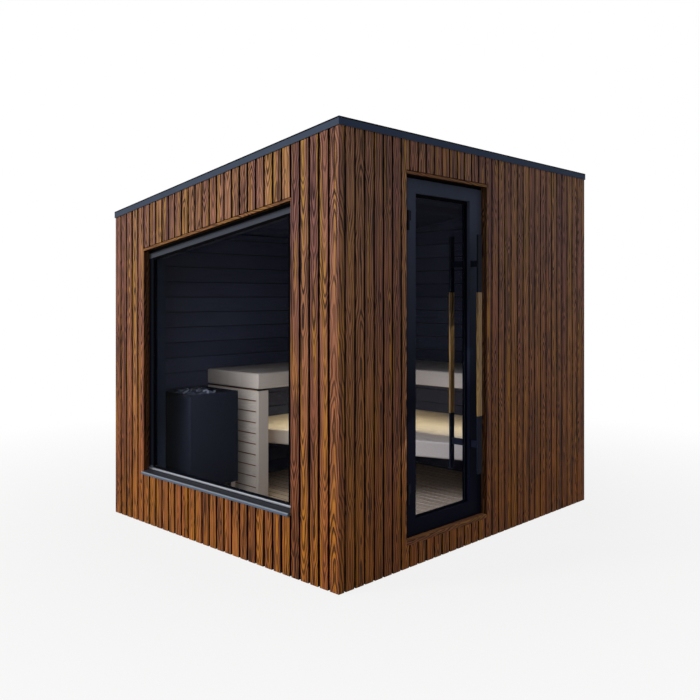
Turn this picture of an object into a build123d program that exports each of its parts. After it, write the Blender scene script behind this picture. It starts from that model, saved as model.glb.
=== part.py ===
# Outdoor sauna cabin with a mono-pitch roof, a fixed picture window and a hinged glass door.
# Millimetres, +Z up. The window wall faces -Y and the door wall faces +X.
# The origin lies on the ground at the middle of the cladding's outline.
import math
import os

from build123d import *

# Overall size of the clad box
width = 2160.0
depth = 2530.0
height_high = 2368.0
height_low = 2058.0

# Wall build-up, from the outside in
cladding_thickness = 40.0
side_wall_thickness = 130.0
front_wall_thickness = 130.0
back_wall_thickness = 180.0
field_gap = 12.0

# Floor
bearer_count = 5
bearer_width = 60.0
bearer_height = 45.0
bearer_inset = 40.0
deck_thickness = 22.0
grate_thickness = 21.0
grate_clearance = 5.0

# Roof
roof_panel_thickness = 110.0
membrane_thickness = 4.0
flashing_sheet = 2.0
flashing_drop = 42.0
flashing_proud = 5.0
flashing_flange = 80.0

# Window opening, measured inside the reveal boards
window_half_width = 720.0
window_bottom = 324.0
window_head_drop = 336.5
reveal_board = 20.0
board_joint = 0.3
window_recess = 42.0
window_frame_width = 50.0
window_bottom_rail = 39.0
window_frame_depth = 93.0
window_glass_recess = 1.5
window_glazing_bead = 6.0
window_rear_rail = 14.0
sill_projection = 20.0
sill_lip = 15.0
sill_edge = 3.0
sill_lip_drop = 3.0
sill_rise = 21.0

# Glazing, shared by the window and the door
pane_thickness = 6.0
pane_gap = 12.0
pane_bite = 9.0
pane_clearance = 0.5
spacer_width = 14.0

# Door opening, measured inside the reveal boards
door_from_corner = 522.0
door_opening_width = 763.0
door_opening_bottom = 145.0
door_head_drop = 223.5
door_threshold_board = 24.0
door_recess = 37.0
leaf_thickness = 50.0
leaf_front_margin = 48.0
leaf_rear_margin = 54.0
leaf_bottom_margin = 8.0
leaf_top_margin = 14.5
leaf_stile = 74.0
leaf_top_rail = 78.0
leaf_bottom_rail = 83.0
leaf_glass_recess = 24.0
leaf_gap = 5.0
frame_setback = 5.0
stop_lip = 15.0

# Hinges
hinge_height = 110.0
hinge_end_distance = 180.0
barrel_radius = 8.0
barrel_face_gap = 1.0
pin_radius = 4.0
pin_clearance = 0.1
barrel_split_gap = 0.6
hinge_plate_thickness = 3.0
hinge_plate_width = 30.0
hinge_bracket_width = 8.0

# Long pull bars on both faces of the door
bar_width = 41.0
bar_depth = 11.0
bar_bottom_margin = 260.0
bar_top_margin = 282.0
bar_metal_length = 346.5
grip_oversize = 1.0
bar_edge_distance = 57.0
outer_bar_gap = 52.0
inner_bar_gap = 92.0
standoff_height = 38.0
standoff_width = 16.0
standoff_from_end = 174.0
bar_fillet = 2.0

# Benches
bench_board = 28.0
bench_height = 108.0
upper_bench_rise = 860.0
lower_bench_rise = 445.0
upper_left_reach = 584.0
upper_left_from_front = 545.0
upper_back_reach = 679.0
bench_wall_gap = 0.3
bench_round = 12.0
lower_left_setback = 88.0
lower_corner_run = 81.7
lower_door_reach = 953.0
ledger_thickness = 38.0
ledger_height = 70.0
panel_thickness = 28.0
panel_gap = 12.0
post_thickness = 30.0
post_depth = 87.0
post_tenon_inset = 9.0
light_width = 18.0
light_height = 10.0
light_setback = 60.0

# Heater
heater_from_left = 110.0
heater_width = 390.0
heater_from_front = 49.0
heater_depth = 388.0
heater_foot_height = 134.0
heater_height = 613.0
heater_wall = 24.0
heater_well = 160.0
heater_round = 6.0
heater_foot = 36.0
heater_foot_inset = 14.0
stone_gap = 4.0
stone_rise = 28.0
stone_inset = 60.0


# Derived planes
half_width = width / 2
half_depth = depth / 2
roof_slope = (height_high - height_low) / width
left_inner = side_wall_thickness - half_width
right_inner = half_width - side_wall_thickness
front_inner = front_wall_thickness - half_depth
back_inner = half_depth - back_wall_thickness
core_x = half_width - cladding_thickness
core_y = half_depth - cladding_thickness
deck_top = bearer_height + deck_thickness
floor_top = deck_top + grate_thickness
covering = flashing_sheet + membrane_thickness
ceiling_drop = covering + roof_panel_thickness


def roof_z(x):
    """Height of the roof's top plane at x."""
    return height_high - (half_width - x) * roof_slope


def window_top(x):
    """Height of the window opening's sloping head at x."""
    return roof_z(x) - window_head_drop


def under_roof(x0, x1, z0, drop):
    """Outline in XZ from z0 up to a line that lies drop below the roof plane."""
    return [(x0, z0), (x1, z0), (x1, roof_z(x1) - drop), (x0, roof_z(x0) - drop)]


def under_window_head(x0, x1, z0, rise):
    """Outline in XZ from z0 up to a line that lies rise above the window head."""
    return [(x0, z0), (x1, z0), (x1, window_top(x1) + rise), (x0, window_top(x0) + rise)]


def above_window_head(x0, x1, rise, drop):
    """Outline in XZ between a line above the window head and one below the roof plane."""
    return [
        (x0, window_top(x0) + rise),
        (x1, window_top(x1) + rise),
        (x1, roof_z(x1) - drop),
        (x0, roof_z(x0) - drop),
    ]


def rectangle(u0, u1, v0, v1):
    """Corner points of a rectangle."""
    return [(u0, v0), (u1, v0), (u1, v1), (u0, v1)]


def along_y(*blocks):
    """Solids from XZ outlines, each given as (outline, y0, y1)."""
    with BuildPart() as solids:
        for outline, y0, y1 in blocks:
            with BuildSketch(Plane.XZ.offset(-y1)):
                with BuildLine():
                    Polyline(*outline, close=True)
                make_face()
            extrude(amount=y1 - y0)
    return solids


def along_x(*blocks):
    """Solids from YZ outlines, each given as (outline, x0, x1)."""
    with BuildPart() as solids:
        for outline, x0, x1 in blocks:
            with BuildSketch(Plane.YZ.offset(x0)):
                with BuildLine():
                    Polyline(*outline, close=True)
                make_face()
            extrude(amount=x1 - x0)
    return solids


# Floor: bearers on the ground, a deck on them and a duckboard grate inside
bearer_pitch = (2 * (core_x - bearer_inset) - bearer_width) / (bearer_count - 1)
with BuildPart() as base_bearers:
    with BuildSketch(Plane.XY):
        with GridLocations(bearer_pitch, 1, bearer_count, 1):
            Rectangle(bearer_width, 2 * core_y)
    extrude(amount=bearer_height)

floor_deck = along_y((rectangle(-core_x, core_x, bearer_height, deck_top), -core_y, core_y))
floor_grate = along_y(
    (
        rectangle(left_inner + grate_clearance, right_inner - grate_clearance, deck_top, floor_top),
        front_inner + grate_clearance,
        back_inner - grate_clearance,
    )
)

# Front wall, split around the window's rough opening
rough_x = window_half_width + reveal_board
rough_bottom = window_bottom - reveal_board
front_wall_left = along_y((under_roof(-core_x, -rough_x, deck_top, ceiling_drop), -core_y, front_inner))
front_wall_right = along_y((under_roof(rough_x, core_x, deck_top, ceiling_drop), -core_y, front_inner))
front_wall_apron = along_y((rectangle(-rough_x, rough_x, deck_top, rough_bottom), -core_y, front_inner))
front_wall_header = along_y(
    (above_window_head(-rough_x, rough_x, reveal_board, ceiling_drop), -core_y, front_inner)
)

# Door wall, split around the door's rough opening
door_opening_front = door_from_corner - half_depth
door_opening_rear = door_opening_front + door_opening_width
door_opening_top = height_high - door_head_drop
rough_front = door_opening_front - reveal_board
rough_rear = door_opening_rear + reveal_board
rough_low = door_opening_bottom - door_threshold_board
rough_high = door_opening_top + reveal_board
door_wall_profile = under_roof(right_inner, core_x, deck_top, ceiling_drop)
door_wall_front = along_y((door_wall_profile, front_inner, rough_front))
door_wall_rear = along_y((door_wall_profile, rough_rear, back_inner))
door_wall_threshold = along_y(
    (rectangle(right_inner, core_x, deck_top, rough_low), rough_front, rough_rear)
)
door_wall_header = along_y(
    (under_roof(right_inner, core_x, rough_high, ceiling_drop), rough_front, rough_rear)
)

# Closed walls
left_wall = along_y((under_roof(-core_x, left_inner, deck_top, ceiling_drop), front_inner, back_inner))
back_wall = along_y((under_roof(-core_x, core_x, deck_top, ceiling_drop), back_inner, core_y))

# Cladding fields, with one board gap between neighbouring fields
front_cladding = along_y(
    (under_roof(-half_width, -rough_x, 0, covering), -half_depth, -core_y),
    (under_roof(rough_x, half_width, 0, covering), -half_depth, -core_y),
    (rectangle(-rough_x + field_gap, rough_x - field_gap, 0, rough_bottom), -half_depth, -core_y),
    (
        above_window_head(-rough_x + field_gap, rough_x - field_gap, reveal_board, covering),
        -half_depth,
        -core_y,
    ),
)
door_cladding_profile = under_roof(core_x, half_width, 0, covering)
door_cladding = along_y(
    (door_cladding_profile, -core_y + board_joint, rough_front),
    (door_cladding_profile, rough_rear, core_y - board_joint),
    (rectangle(core_x, half_width, 0, rough_low), rough_front + field_gap, rough_rear - field_gap),
    (
        under_roof(core_x, half_width, rough_high, covering),
        rough_front + field_gap,
        rough_rear - field_gap,
    ),
)
left_cladding = along_y(
    (under_roof(-half_width, -core_x, 0, covering), -core_y + board_joint, core_y - board_joint)
)
back_cladding = along_y((under_roof(-half_width, half_width, 0, covering), core_y, half_depth))

# Roof: insulated panel on the walls, membrane over it, folded flashing round the edge
roof_panel = along_y(
    (
        [
            (-core_x, roof_z(-core_x) - ceiling_drop),
            (core_x, roof_z(core_x) - ceiling_drop),
            (core_x, roof_z(core_x) - covering),
            (-core_x, roof_z(-core_x) - covering),
        ],
        -core_y,
        core_y,
    )
)
roof_membrane = along_y(
    (
        [
            (-half_width, roof_z(-half_width) - covering),
            (half_width, roof_z(half_width) - covering),
            (half_width, roof_z(half_width) - flashing_sheet),
            (-half_width, roof_z(-half_width) - flashing_sheet),
        ],
        -half_depth,
        half_depth,
    )
)
flashing_x = half_width + flashing_proud
flashing_y = half_depth + flashing_proud
inner_x = flashing_x - flashing_sheet
inner_y = flashing_y - flashing_sheet
with BuildPart() as roof_flashing:
    with BuildSketch(Plane.XZ.offset(-flashing_y)):
        with BuildLine():
            Polyline(
                (-flashing_x, roof_z(-flashing_x) - flashing_drop),
                (flashing_x, roof_z(flashing_x) - flashing_drop),
                (flashing_x, roof_z(flashing_x)),
                (-flashing_x, roof_z(-flashing_x)),
                close=True,
            )
        make_face()
    extrude(amount=2 * flashing_y)
    with BuildSketch(Plane.XZ.offset(-inner_y)):
        with BuildLine():
            Polyline(
                (-inner_x, roof_z(-inner_x) - 2 * flashing_drop),
                (inner_x, roof_z(inner_x) - 2 * flashing_drop),
                (inner_x, roof_z(inner_x) - flashing_sheet),
                (-inner_x, roof_z(-inner_x) - flashing_sheet),
                close=True,
            )
        make_face()
    extrude(amount=2 * inner_y, mode=Mode.SUBTRACT)
    with BuildSketch(Plane.XY.offset(height_low - 2 * flashing_drop)):
        Rectangle(2 * (flashing_x - flashing_flange), 2 * (flashing_y - flashing_flange))
    extrude(amount=height_high, mode=Mode.SUBTRACT)

# Window: reveal boards, frame, sealed double glazing and folded sill
window_reveal = along_y(
    (under_window_head(-rough_x, -window_half_width, rough_bottom, reveal_board), -half_depth, front_inner),
    (under_window_head(window_half_width, rough_x, rough_bottom, reveal_board), -half_depth, front_inner),
    (
        rectangle(-window_half_width + board_joint, window_half_width - board_joint, rough_bottom, window_bottom),
        -half_depth,
        front_inner,
    ),
    (
        [
            (-window_half_width + board_joint, window_top(-window_half_width + board_joint)),
            (window_half_width - board_joint, window_top(window_half_width - board_joint)),
            (window_half_width - board_joint, window_top(window_half_width - board_joint) + reveal_board),
            (-window_half_width + board_joint, window_top(-window_half_width + board_joint) + reveal_board),
        ],
        -half_depth,
        front_inner,
    ),
)
window_face = window_recess - half_depth
window_back = window_face + window_frame_depth
glass_half = window_half_width - window_frame_width
glass_bottom = window_bottom + window_bottom_rail
pane_half = glass_half + pane_bite
outer_pane_front = window_face + window_glass_recess
inner_pane_back = outer_pane_front + 2 * pane_thickness + pane_gap


def window_outline(half, bottom, rise):
    """Trapezoid that follows the window head, for the frame, panes and spacer."""
    return [
        (-half, bottom),
        (half, bottom),
        (half, window_top(half) + rise),
        (-half, window_top(-half) + rise),
    ]


with BuildPart() as window_frame:
    with BuildSketch(Plane.XZ.offset(-window_back)):
        with BuildLine():
            Polyline(*window_outline(window_half_width, window_bottom, 0), close=True)
        make_face()
        with BuildLine():
            Polyline(*window_outline(glass_half, glass_bottom, -window_frame_width), close=True)
        make_face(mode=Mode.SUBTRACT)
    extrude(amount=window_frame_depth)
    with BuildSketch(Plane.XZ.offset(-inner_pane_back - pane_clearance)):
        with BuildLine():
            Polyline(
                *window_outline(
                    pane_half + pane_clearance,
                    glass_bottom - pane_bite - pane_clearance,
                    pane_bite + pane_clearance - window_frame_width,
                ),
                close=True,
            )
        make_face()
    extrude(amount=2 * pane_thickness + pane_gap + 2 * pane_clearance, mode=Mode.SUBTRACT)
    with BuildSketch(Plane.XZ.offset(-window_back)):
        with BuildLine():
            Polyline(
                *rectangle(
                    -glass_half, glass_half, window_bottom + window_rear_rail, glass_bottom + window_glazing_bead
                ),
                close=True,
            )
        make_face()
    extrude(amount=window_back - inner_pane_back - pane_clearance - window_glazing_bead, mode=Mode.SUBTRACT)

window_pane_outline = window_outline(pane_half, glass_bottom - pane_bite, pane_bite - window_frame_width)
window_glass = along_y(
    (window_pane_outline, outer_pane_front, outer_pane_front + pane_thickness),
    (window_pane_outline, inner_pane_back - pane_thickness, inner_pane_back),
)
with BuildPart() as window_spacer:
    with BuildSketch(Plane.XZ.offset(pane_thickness - inner_pane_back)):
        with BuildLine():
            Polyline(*window_pane_outline, close=True)
        make_face()
        with BuildLine():
            Polyline(
                *window_outline(
                    pane_half - spacer_width,
                    glass_bottom - pane_bite + spacer_width,
                    pane_bite - window_frame_width - spacer_width,
                ),
                close=True,
            )
        make_face(mode=Mode.SUBTRACT)
    extrude(amount=pane_gap)

sill_front = -half_depth - sill_projection
window_sill = along_x(
    (
        [
            (sill_front, window_bottom - sill_lip_drop),
            (-half_depth - board_joint, window_bottom - sill_lip_drop),
            (-half_depth - board_joint, window_bottom),
            (window_face - board_joint, window_bottom),
            (window_face - board_joint, window_bottom + sill_rise),
            (sill_front + sill_edge, window_bottom - sill_lip_drop + sill_lip),
            (sill_front, window_bottom - sill_lip_drop + sill_lip - sill_edge),
        ],
        board_joint - window_half_width,
        window_half_width - board_joint,
    )
)

# Door surround: reveal boards and the fixed frame with its stop
door_reveal = along_x(
    (rectangle(rough_front, door_opening_front, rough_low, rough_high), right_inner, half_width),
    (rectangle(door_opening_rear, rough_rear, rough_low, rough_high), right_inner, half_width),
    (
        rectangle(
            door_opening_front + board_joint, door_opening_rear - board_joint, rough_low, door_opening_bottom
        ),
        right_inner,
        half_width,
    ),
    (
        rectangle(
            door_opening_front + board_joint, door_opening_rear - board_joint, door_opening_top, rough_high
        ),
        right_inner,
        half_width,
    ),
)
leaf_front_edge = door_opening_front + leaf_front_margin
leaf_rear_edge = door_opening_rear - leaf_rear_margin
leaf_bottom = door_opening_bottom + leaf_bottom_margin
leaf_top = door_opening_top - leaf_top_margin
leaf_face = half_width - door_recess
leaf_back = leaf_face - leaf_thickness
frame_face = leaf_face - frame_setback
stop_face = leaf_back - leaf_gap
with BuildPart() as door_frame:
    with BuildSketch(Plane.YZ.offset(right_inner)):
        with BuildLine():
            Polyline(
                *rectangle(door_opening_front, door_opening_rear, door_opening_bottom, door_opening_top),
                close=True,
            )
        make_face()
        with BuildLine():
            Polyline(
                *rectangle(
                    leaf_front_edge + stop_lip,
                    leaf_rear_edge - stop_lip,
                    leaf_bottom - leaf_gap,
                    leaf_top - stop_lip,
                ),
                close=True,
            )
        make_face(mode=Mode.SUBTRACT)
    extrude(amount=frame_face - right_inner)
    with BuildSketch(Plane.YZ.offset(stop_face)):
        with BuildLine():
            Polyline(
                *rectangle(
                    leaf_front_edge - leaf_gap,
                    leaf_rear_edge + leaf_gap,
                    leaf_bottom - leaf_gap,
                    leaf_top + leaf_gap,
                ),
                close=True,
            )
        make_face()
    extrude(amount=leaf_thickness, mode=Mode.SUBTRACT)

# Door leaf with its glazing pocket, double glazing and spacer
glass_front = leaf_front_edge + leaf_stile
glass_rear = leaf_rear_edge - leaf_stile
glass_low = leaf_bottom + leaf_bottom_rail
glass_high = leaf_top - leaf_top_rail
door_pane_face = leaf_face - leaf_glass_recess
door_pane_back = door_pane_face - 2 * pane_thickness - pane_gap
with BuildPart() as door_leaf:
    with BuildSketch(Plane.YZ.offset(leaf_back)):
        with BuildLine():
            Polyline(*rectangle(leaf_front_edge, leaf_rear_edge, leaf_bottom, leaf_top), close=True)
        make_face()
        with BuildLine():
            Polyline(*rectangle(glass_front, glass_rear, glass_low, glass_high), close=True)
        make_face(mode=Mode.SUBTRACT)
    extrude(amount=leaf_thickness)
    pocket = pane_bite + pane_clearance
    with BuildSketch(Plane.YZ.offset(door_pane_back - pane_clearance)):
        with BuildLine():
            Polyline(
                *rectangle(glass_front - pocket, glass_rear + pocket, glass_low - pocket, glass_high + pocket),
                close=True,
            )
        make_face()
    extrude(amount=2 * pane_thickness + pane_gap + 2 * pane_clearance, mode=Mode.SUBTRACT)

door_pane_outline = rectangle(
    glass_front - pane_bite, glass_rear + pane_bite, glass_low - pane_bite, glass_high + pane_bite
)
door_glass = along_x(
    (door_pane_outline, door_pane_face - pane_thickness, door_pane_face),
    (door_pane_outline, door_pane_back, door_pane_back + pane_thickness),
)
spacer_inset = spacer_width - pane_bite
with BuildPart() as door_spacer:
    with BuildSketch(Plane.YZ.offset(door_pane_back + pane_thickness)):
        with BuildLine():
            Polyline(*door_pane_outline, close=True)
        make_face()
        with BuildLine():
            Polyline(
                *rectangle(
                    glass_front + spacer_inset,
                    glass_rear - spacer_inset,
                    glass_low + spacer_inset,
                    glass_high - spacer_inset,
                ),
                close=True,
            )
        make_face(mode=Mode.SUBTRACT)
    extrude(amount=pane_gap)

# Lift-off hinges: the pin stands in the frame's barrel and the leaf's barrel turns on it
hinge_x = leaf_face + barrel_face_gap + barrel_radius
hinge_y = leaf_front_edge - leaf_gap / 2
hinge_lows = (leaf_bottom + hinge_end_distance, leaf_top - hinge_end_distance - hinge_height)
half_barrel = (hinge_height - barrel_split_gap) / 2
with BuildPart() as hinge_fixed:
    for low in hinge_lows:
        with BuildSketch(Plane.XY.offset(low)):
            with Locations((hinge_x, hinge_y)):
                Circle(barrel_radius)
            with BuildLine():
                Polyline(
                    *rectangle(
                        frame_face,
                        hinge_x,
                        hinge_y - barrel_radius,
                        hinge_y - barrel_radius + hinge_bracket_width,
                    ),
                    close=True,
                )
            make_face()
        extrude(amount=half_barrel)
        with BuildSketch(Plane.XY.offset(low)):
            with Locations((hinge_x, hinge_y)):
                Circle(pin_radius)
        extrude(amount=hinge_height - hinge_plate_thickness)
with BuildPart() as hinge_moving:
    for low in hinge_lows:
        with BuildSketch(Plane.XY.offset(low + hinge_height - half_barrel)):
            with Locations((hinge_x, hinge_y)):
                Circle(barrel_radius)
            with BuildLine():
                Polyline(
                    *rectangle(
                        leaf_face,
                        leaf_face + hinge_plate_thickness,
                        hinge_y,
                        leaf_front_edge + hinge_plate_width,
                    ),
                    close=True,
                )
            make_face()
        extrude(amount=half_barrel)
        with BuildSketch(Plane.XY.offset(low)):
            with Locations((hinge_x, hinge_y)):
                Circle(pin_radius + pin_clearance)
        extrude(amount=hinge_height - hinge_plate_thickness + pin_clearance, mode=Mode.SUBTRACT)

# Pull bars: metal ends with stand-offs, and a wooden grip between them
bar_y = leaf_rear_edge - bar_edge_distance
bar_bottom = leaf_bottom + bar_bottom_margin
bar_top = leaf_top - bar_top_margin
grip_bottom = bar_bottom + bar_metal_length
grip_top = bar_top - bar_metal_length
outer_bar_back = leaf_face + outer_bar_gap
inner_bar_back = leaf_back - inner_bar_gap - bar_depth
with BuildPart() as handle_bars:
    for bar_x, post_start, post_end in (
        (outer_bar_back, leaf_face, outer_bar_back),
        (inner_bar_back, inner_bar_back + bar_depth, leaf_back),
    ):
        for low, high, centre in (
            (bar_bottom, grip_bottom, bar_bottom + standoff_from_end),
            (grip_top, bar_top, bar_top - standoff_from_end),
        ):
            with BuildSketch(Plane.XY.offset(low)):
                with Locations((bar_x + bar_depth / 2, bar_y)):
                    RectangleRounded(bar_depth, bar_width, bar_fillet)
            extrude(amount=high - low)
            with BuildSketch(Plane.YZ.offset(post_start)):
                with Locations((bar_y, centre)):
                    Rectangle(standoff_width, standoff_height)
            extrude(amount=post_end - post_start)
with BuildPart() as handle_grips:
    for bar_x in (outer_bar_back, inner_bar_back):
        with BuildSketch(Plane.XY.offset(grip_bottom)):
            with Locations((bar_x + bar_depth / 2, bar_y)):
                RectangleRounded(
                    bar_depth + 2 * grip_oversize, bar_width + 2 * grip_oversize, bar_fillet + grip_oversize
                )
        extrude(amount=grip_top - grip_bottom)

# Benches: boarded tops with a deep fascia, hollow underneath, resting on wall ledgers
bench_left = left_inner + bench_wall_gap
bench_right = right_inner - bench_wall_gap
bench_back = back_inner - bench_wall_gap
upper_bench_top = floor_top + upper_bench_rise
lower_bench_top = floor_top + lower_bench_rise
upper_left_edge = left_inner + upper_left_reach
upper_left_end = front_inner + upper_left_from_front
upper_back_edge = back_inner - upper_back_reach
lower_front_at_left = upper_left_end + lower_left_setback
lower_front_at_door = back_inner - lower_door_reach
lower_front_corner = bench_left + lower_corner_run


with BuildPart() as upper_bench_left:
    with BuildSketch(Plane.XY.offset(upper_bench_top - bench_height)):
        with BuildLine():
            Polyline(
                *rectangle(bench_left, upper_left_edge, upper_left_end, upper_back_edge), close=True
            )
        make_face()
    extrude(amount=bench_height)
    free_end = upper_bench_left.edges().group_by(Axis.Y)[0].filter_by(Axis.X)
    long_sides = upper_bench_left.edges().filter_by(Axis.Y)
    fillet(free_end + long_sides, radius=bench_round)
    with BuildSketch(Plane.XY.offset(upper_bench_top - bench_height)):
        with BuildLine():
            Polyline(
                *rectangle(
                    bench_left,
                    upper_left_edge - bench_board,
                    upper_left_end + bench_board,
                    upper_back_edge,
                ),
                close=True,
            )
        make_face()
    extrude(amount=bench_height - bench_board, mode=Mode.SUBTRACT)

with BuildPart() as upper_bench_back:
    with BuildSketch(Plane.XY.offset(upper_bench_top - bench_height)):
        with BuildLine():
            Polyline(*rectangle(upper_left_edge, bench_right, upper_back_edge, bench_back), close=True)
        make_face()
    extrude(amount=bench_height)
    front_edges = upper_bench_back.edges().filter_by(Axis.X).group_by(Axis.Y)[0]
    fillet(front_edges, radius=bench_round)
    with BuildSketch(Plane.XY.offset(upper_bench_top - bench_height)):
        with BuildLine():
            Polyline(*rectangle(bench_left, upper_left_edge, upper_back_edge, bench_back), close=True)
        make_face()
    extrude(amount=bench_height)
    with BuildSketch(Plane.XY.offset(upper_bench_top - bench_height)):
        with BuildLine():
            Polyline(
                (bench_left, upper_back_edge),
                (upper_left_edge - bench_board, upper_back_edge),
                (upper_left_edge - bench_board, upper_back_edge + bench_board),
                (bench_right, upper_back_edge + bench_board),
                (bench_right, bench_back),
                (bench_left, bench_back),
                close=True,
            )
        make_face()
    extrude(amount=bench_height - bench_board, mode=Mode.SUBTRACT)

# The lower bench widens towards the left wall behind a slanting front
front_slope = (lower_front_at_door - lower_front_at_left) / (bench_right - lower_front_corner)
board_run = bench_board * math.hypot(1, front_slope)
with BuildPart() as lower_bench:
    with BuildSketch(Plane.XY.offset(lower_bench_top - bench_height)):
        with BuildLine():
            Polyline(
                (bench_left, lower_front_at_left),
                (lower_front_corner, lower_front_at_left),
                (bench_right, lower_front_at_door),
                (bench_right, bench_back),
                (bench_left, bench_back),
                close=True,
            )
        make_face()
    extrude(amount=bench_height)
    slanting = Axis((0, 0, 0), (1, front_slope, 0))
    fillet(lower_bench.edges().filter_by(slanting), radius=bench_round)
    with BuildSketch(Plane.XY.offset(lower_bench_top - bench_height)):
        with BuildLine():
            Polyline(
                (bench_left, lower_front_at_left + board_run),
                (lower_front_corner, lower_front_at_left + board_run),
                (bench_right, lower_front_at_door + board_run),
                (bench_right, bench_back),
                (bench_left, bench_back),
                close=True,
            )
        make_face()
    extrude(amount=bench_height - bench_board, mode=Mode.SUBTRACT)

# Ledgers on the walls, under the bench boards
with BuildPart() as bench_ledgers:
    for top, left_start, right_start in (
        (upper_bench_top - bench_board, upper_left_end + bench_board, upper_back_edge + bench_board),
        (lower_bench_top - bench_board, lower_front_at_left + board_run, lower_front_at_door + board_run),
    ):
        with BuildSketch(Plane.XY.offset(top - ledger_height)):
            for outline in (
                rectangle(
                    left_inner,
                    left_inner + ledger_thickness,
                    left_start + board_joint,
                    back_inner - ledger_thickness - board_joint,
                ),
                rectangle(
                    right_inner - ledger_thickness,
                    right_inner,
                    right_start + board_joint,
                    back_inner - ledger_thickness - board_joint,
                ),
                rectangle(left_inner, right_inner, back_inner - ledger_thickness, back_inner),
            ):
                with BuildLine():
                    Polyline(*outline, close=True)
                make_face()
        extrude(amount=ledger_height)

# Light strips behind the upper fascia, end panel and post under the left bench
light_top = upper_bench_top - bench_board
strip_x = upper_left_edge - light_setback
strip_y = upper_back_edge + light_setback
with BuildPart() as bench_lights:
    with BuildSketch(Plane.XY.offset(light_top - light_height)):
        with BuildLine():
            Polyline(
                *rectangle(
                    strip_x - light_width,
                    strip_x,
                    upper_left_end + 2 * bench_board,
                    upper_back_edge - 2 * bench_board,
                ),
                close=True,
            )
        make_face()
        with BuildLine():
            Polyline(
                *rectangle(
                    bench_left + 2 * ledger_thickness,
                    bench_right - 2 * ledger_thickness,
                    strip_y,
                    strip_y + light_width,
                ),
                close=True,
            )
        make_face()
    extrude(amount=light_height)

upper_bottom = upper_bench_top - bench_height
post_x = upper_left_edge - post_thickness
with BuildPart() as bench_post:
    with BuildSketch(Plane.XY.offset(floor_top)):
        with BuildLine():
            Polyline(
                *rectangle(post_x, upper_left_edge, upper_left_end, upper_left_end + post_depth), close=True
            )
        make_face()
    extrude(amount=upper_bottom - panel_gap - floor_top)
    with BuildSketch(Plane.XY.offset(upper_bottom - panel_gap)):
        with BuildLine():
            Polyline(
                *rectangle(
                    post_x,
                    upper_left_edge - post_tenon_inset,
                    upper_left_end + post_tenon_inset,
                    upper_left_end + post_depth,
                ),
                close=True,
            )
        make_face()
    extrude(amount=panel_gap)
bench_end_panel = along_y(
    (
        rectangle(bench_left, post_x, floor_top, upper_bottom - panel_gap),
        upper_left_end,
        upper_left_end + panel_thickness,
    )
)

# Heater: open-topped box on four feet, with its load of stones
heater_left = left_inner + heater_from_left
heater_front = front_inner + heater_from_front
heater_bottom = floor_top + heater_foot_height
heater_top = heater_bottom + heater_height
with BuildPart() as heater_body:
    with BuildSketch(Plane.XY.offset(heater_bottom)):
        with Locations((heater_left + heater_width / 2, heater_front + heater_depth / 2)):
            RectangleRounded(heater_width, heater_depth, heater_round)
    extrude(amount=heater_top - heater_bottom)
    with BuildSketch(Plane.XY.offset(heater_top - heater_well)):
        with Locations((heater_left + heater_width / 2, heater_front + heater_depth / 2)):
            Rectangle(heater_width - 2 * heater_wall, heater_depth - 2 * heater_wall)
    extrude(amount=heater_well, mode=Mode.SUBTRACT)
with BuildPart() as heater_feet:
    with BuildSketch(Plane.XY.offset(floor_top)):
        with Locations((heater_left + heater_width / 2, heater_front + heater_depth / 2)):
            with GridLocations(
                heater_width - 2 * heater_foot_inset - heater_foot,
                heater_depth - 2 * heater_foot_inset - heater_foot,
                2,
                2,
            ):
                Rectangle(heater_foot, heater_foot)
    extrude(amount=heater_bottom - floor_top)
stone_x = heater_width - 2 * heater_wall - 2 * stone_gap
stone_y = heater_depth - 2 * heater_wall - 2 * stone_gap
with BuildPart() as heater_stones:
    for base, reach, inset in ((heater_top - heater_well, heater_well, 0), (heater_top, stone_rise, stone_inset)):
        with BuildSketch(Plane.XY.offset(base)):
            with Locations((heater_left + heater_width / 2, heater_front + heater_depth / 2)):
                Rectangle(stone_x - inset, stone_y - inset)
        extrude(amount=reach)

pieces = {
    "base_bearers": base_bearers,
    "floor_deck": floor_deck,
    "floor_grate": floor_grate,
    "front_wall_left": front_wall_left,
    "front_wall_right": front_wall_right,
    "front_wall_apron": front_wall_apron,
    "front_wall_header": front_wall_header,
    "door_wall_front": door_wall_front,
    "door_wall_rear": door_wall_rear,
    "door_wall_threshold": door_wall_threshold,
    "door_wall_header": door_wall_header,
    "left_wall": left_wall,
    "back_wall": back_wall,
    "front_cladding": front_cladding,
    "door_cladding": door_cladding,
    "left_cladding": left_cladding,
    "back_cladding": back_cladding,
    "roof_panel": roof_panel,
    "roof_membrane": roof_membrane,
    "roof_flashing": roof_flashing,
    "window_reveal": window_reveal,
    "window_frame": window_frame,
    "window_glass": window_glass,
    "window_spacer": window_spacer,
    "window_sill": window_sill,
    "door_reveal": door_reveal,
    "door_frame": door_frame,
    "door_leaf": door_leaf,
    "door_glass": door_glass,
    "door_spacer": door_spacer,
    "hinge_fixed": hinge_fixed,
    "hinge_moving": hinge_moving,
    "handle_bars": handle_bars,
    "handle_grips": handle_grips,
    "upper_bench_left": upper_bench_left,
    "upper_bench_back": upper_bench_back,
    "lower_bench": lower_bench,
    "bench_ledgers": bench_ledgers,
    "bench_lights": bench_lights,
    "bench_post": bench_post,
    "bench_end_panel": bench_end_panel,
    "heater_body": heater_body,
    "heater_feet": heater_feet,
    "heater_stones": heater_stones,
}
os.makedirs("parts", exist_ok=True)
for name, piece in pieces.items():
    piece.part.label = name
    export_step(piece.part, f"parts/{name}.step")
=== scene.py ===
"""Looks of the outdoor sauna cabin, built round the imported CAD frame. Metres, +Z up."""

import itertools
import logging
import math
import random
from collections.abc import Callable, Sequence
from dataclasses import dataclass, field, replace
from enum import Enum
from functools import partial
from typing import Any

import bmesh
import bpy
from mathutils import Matrix, Vector


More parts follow.
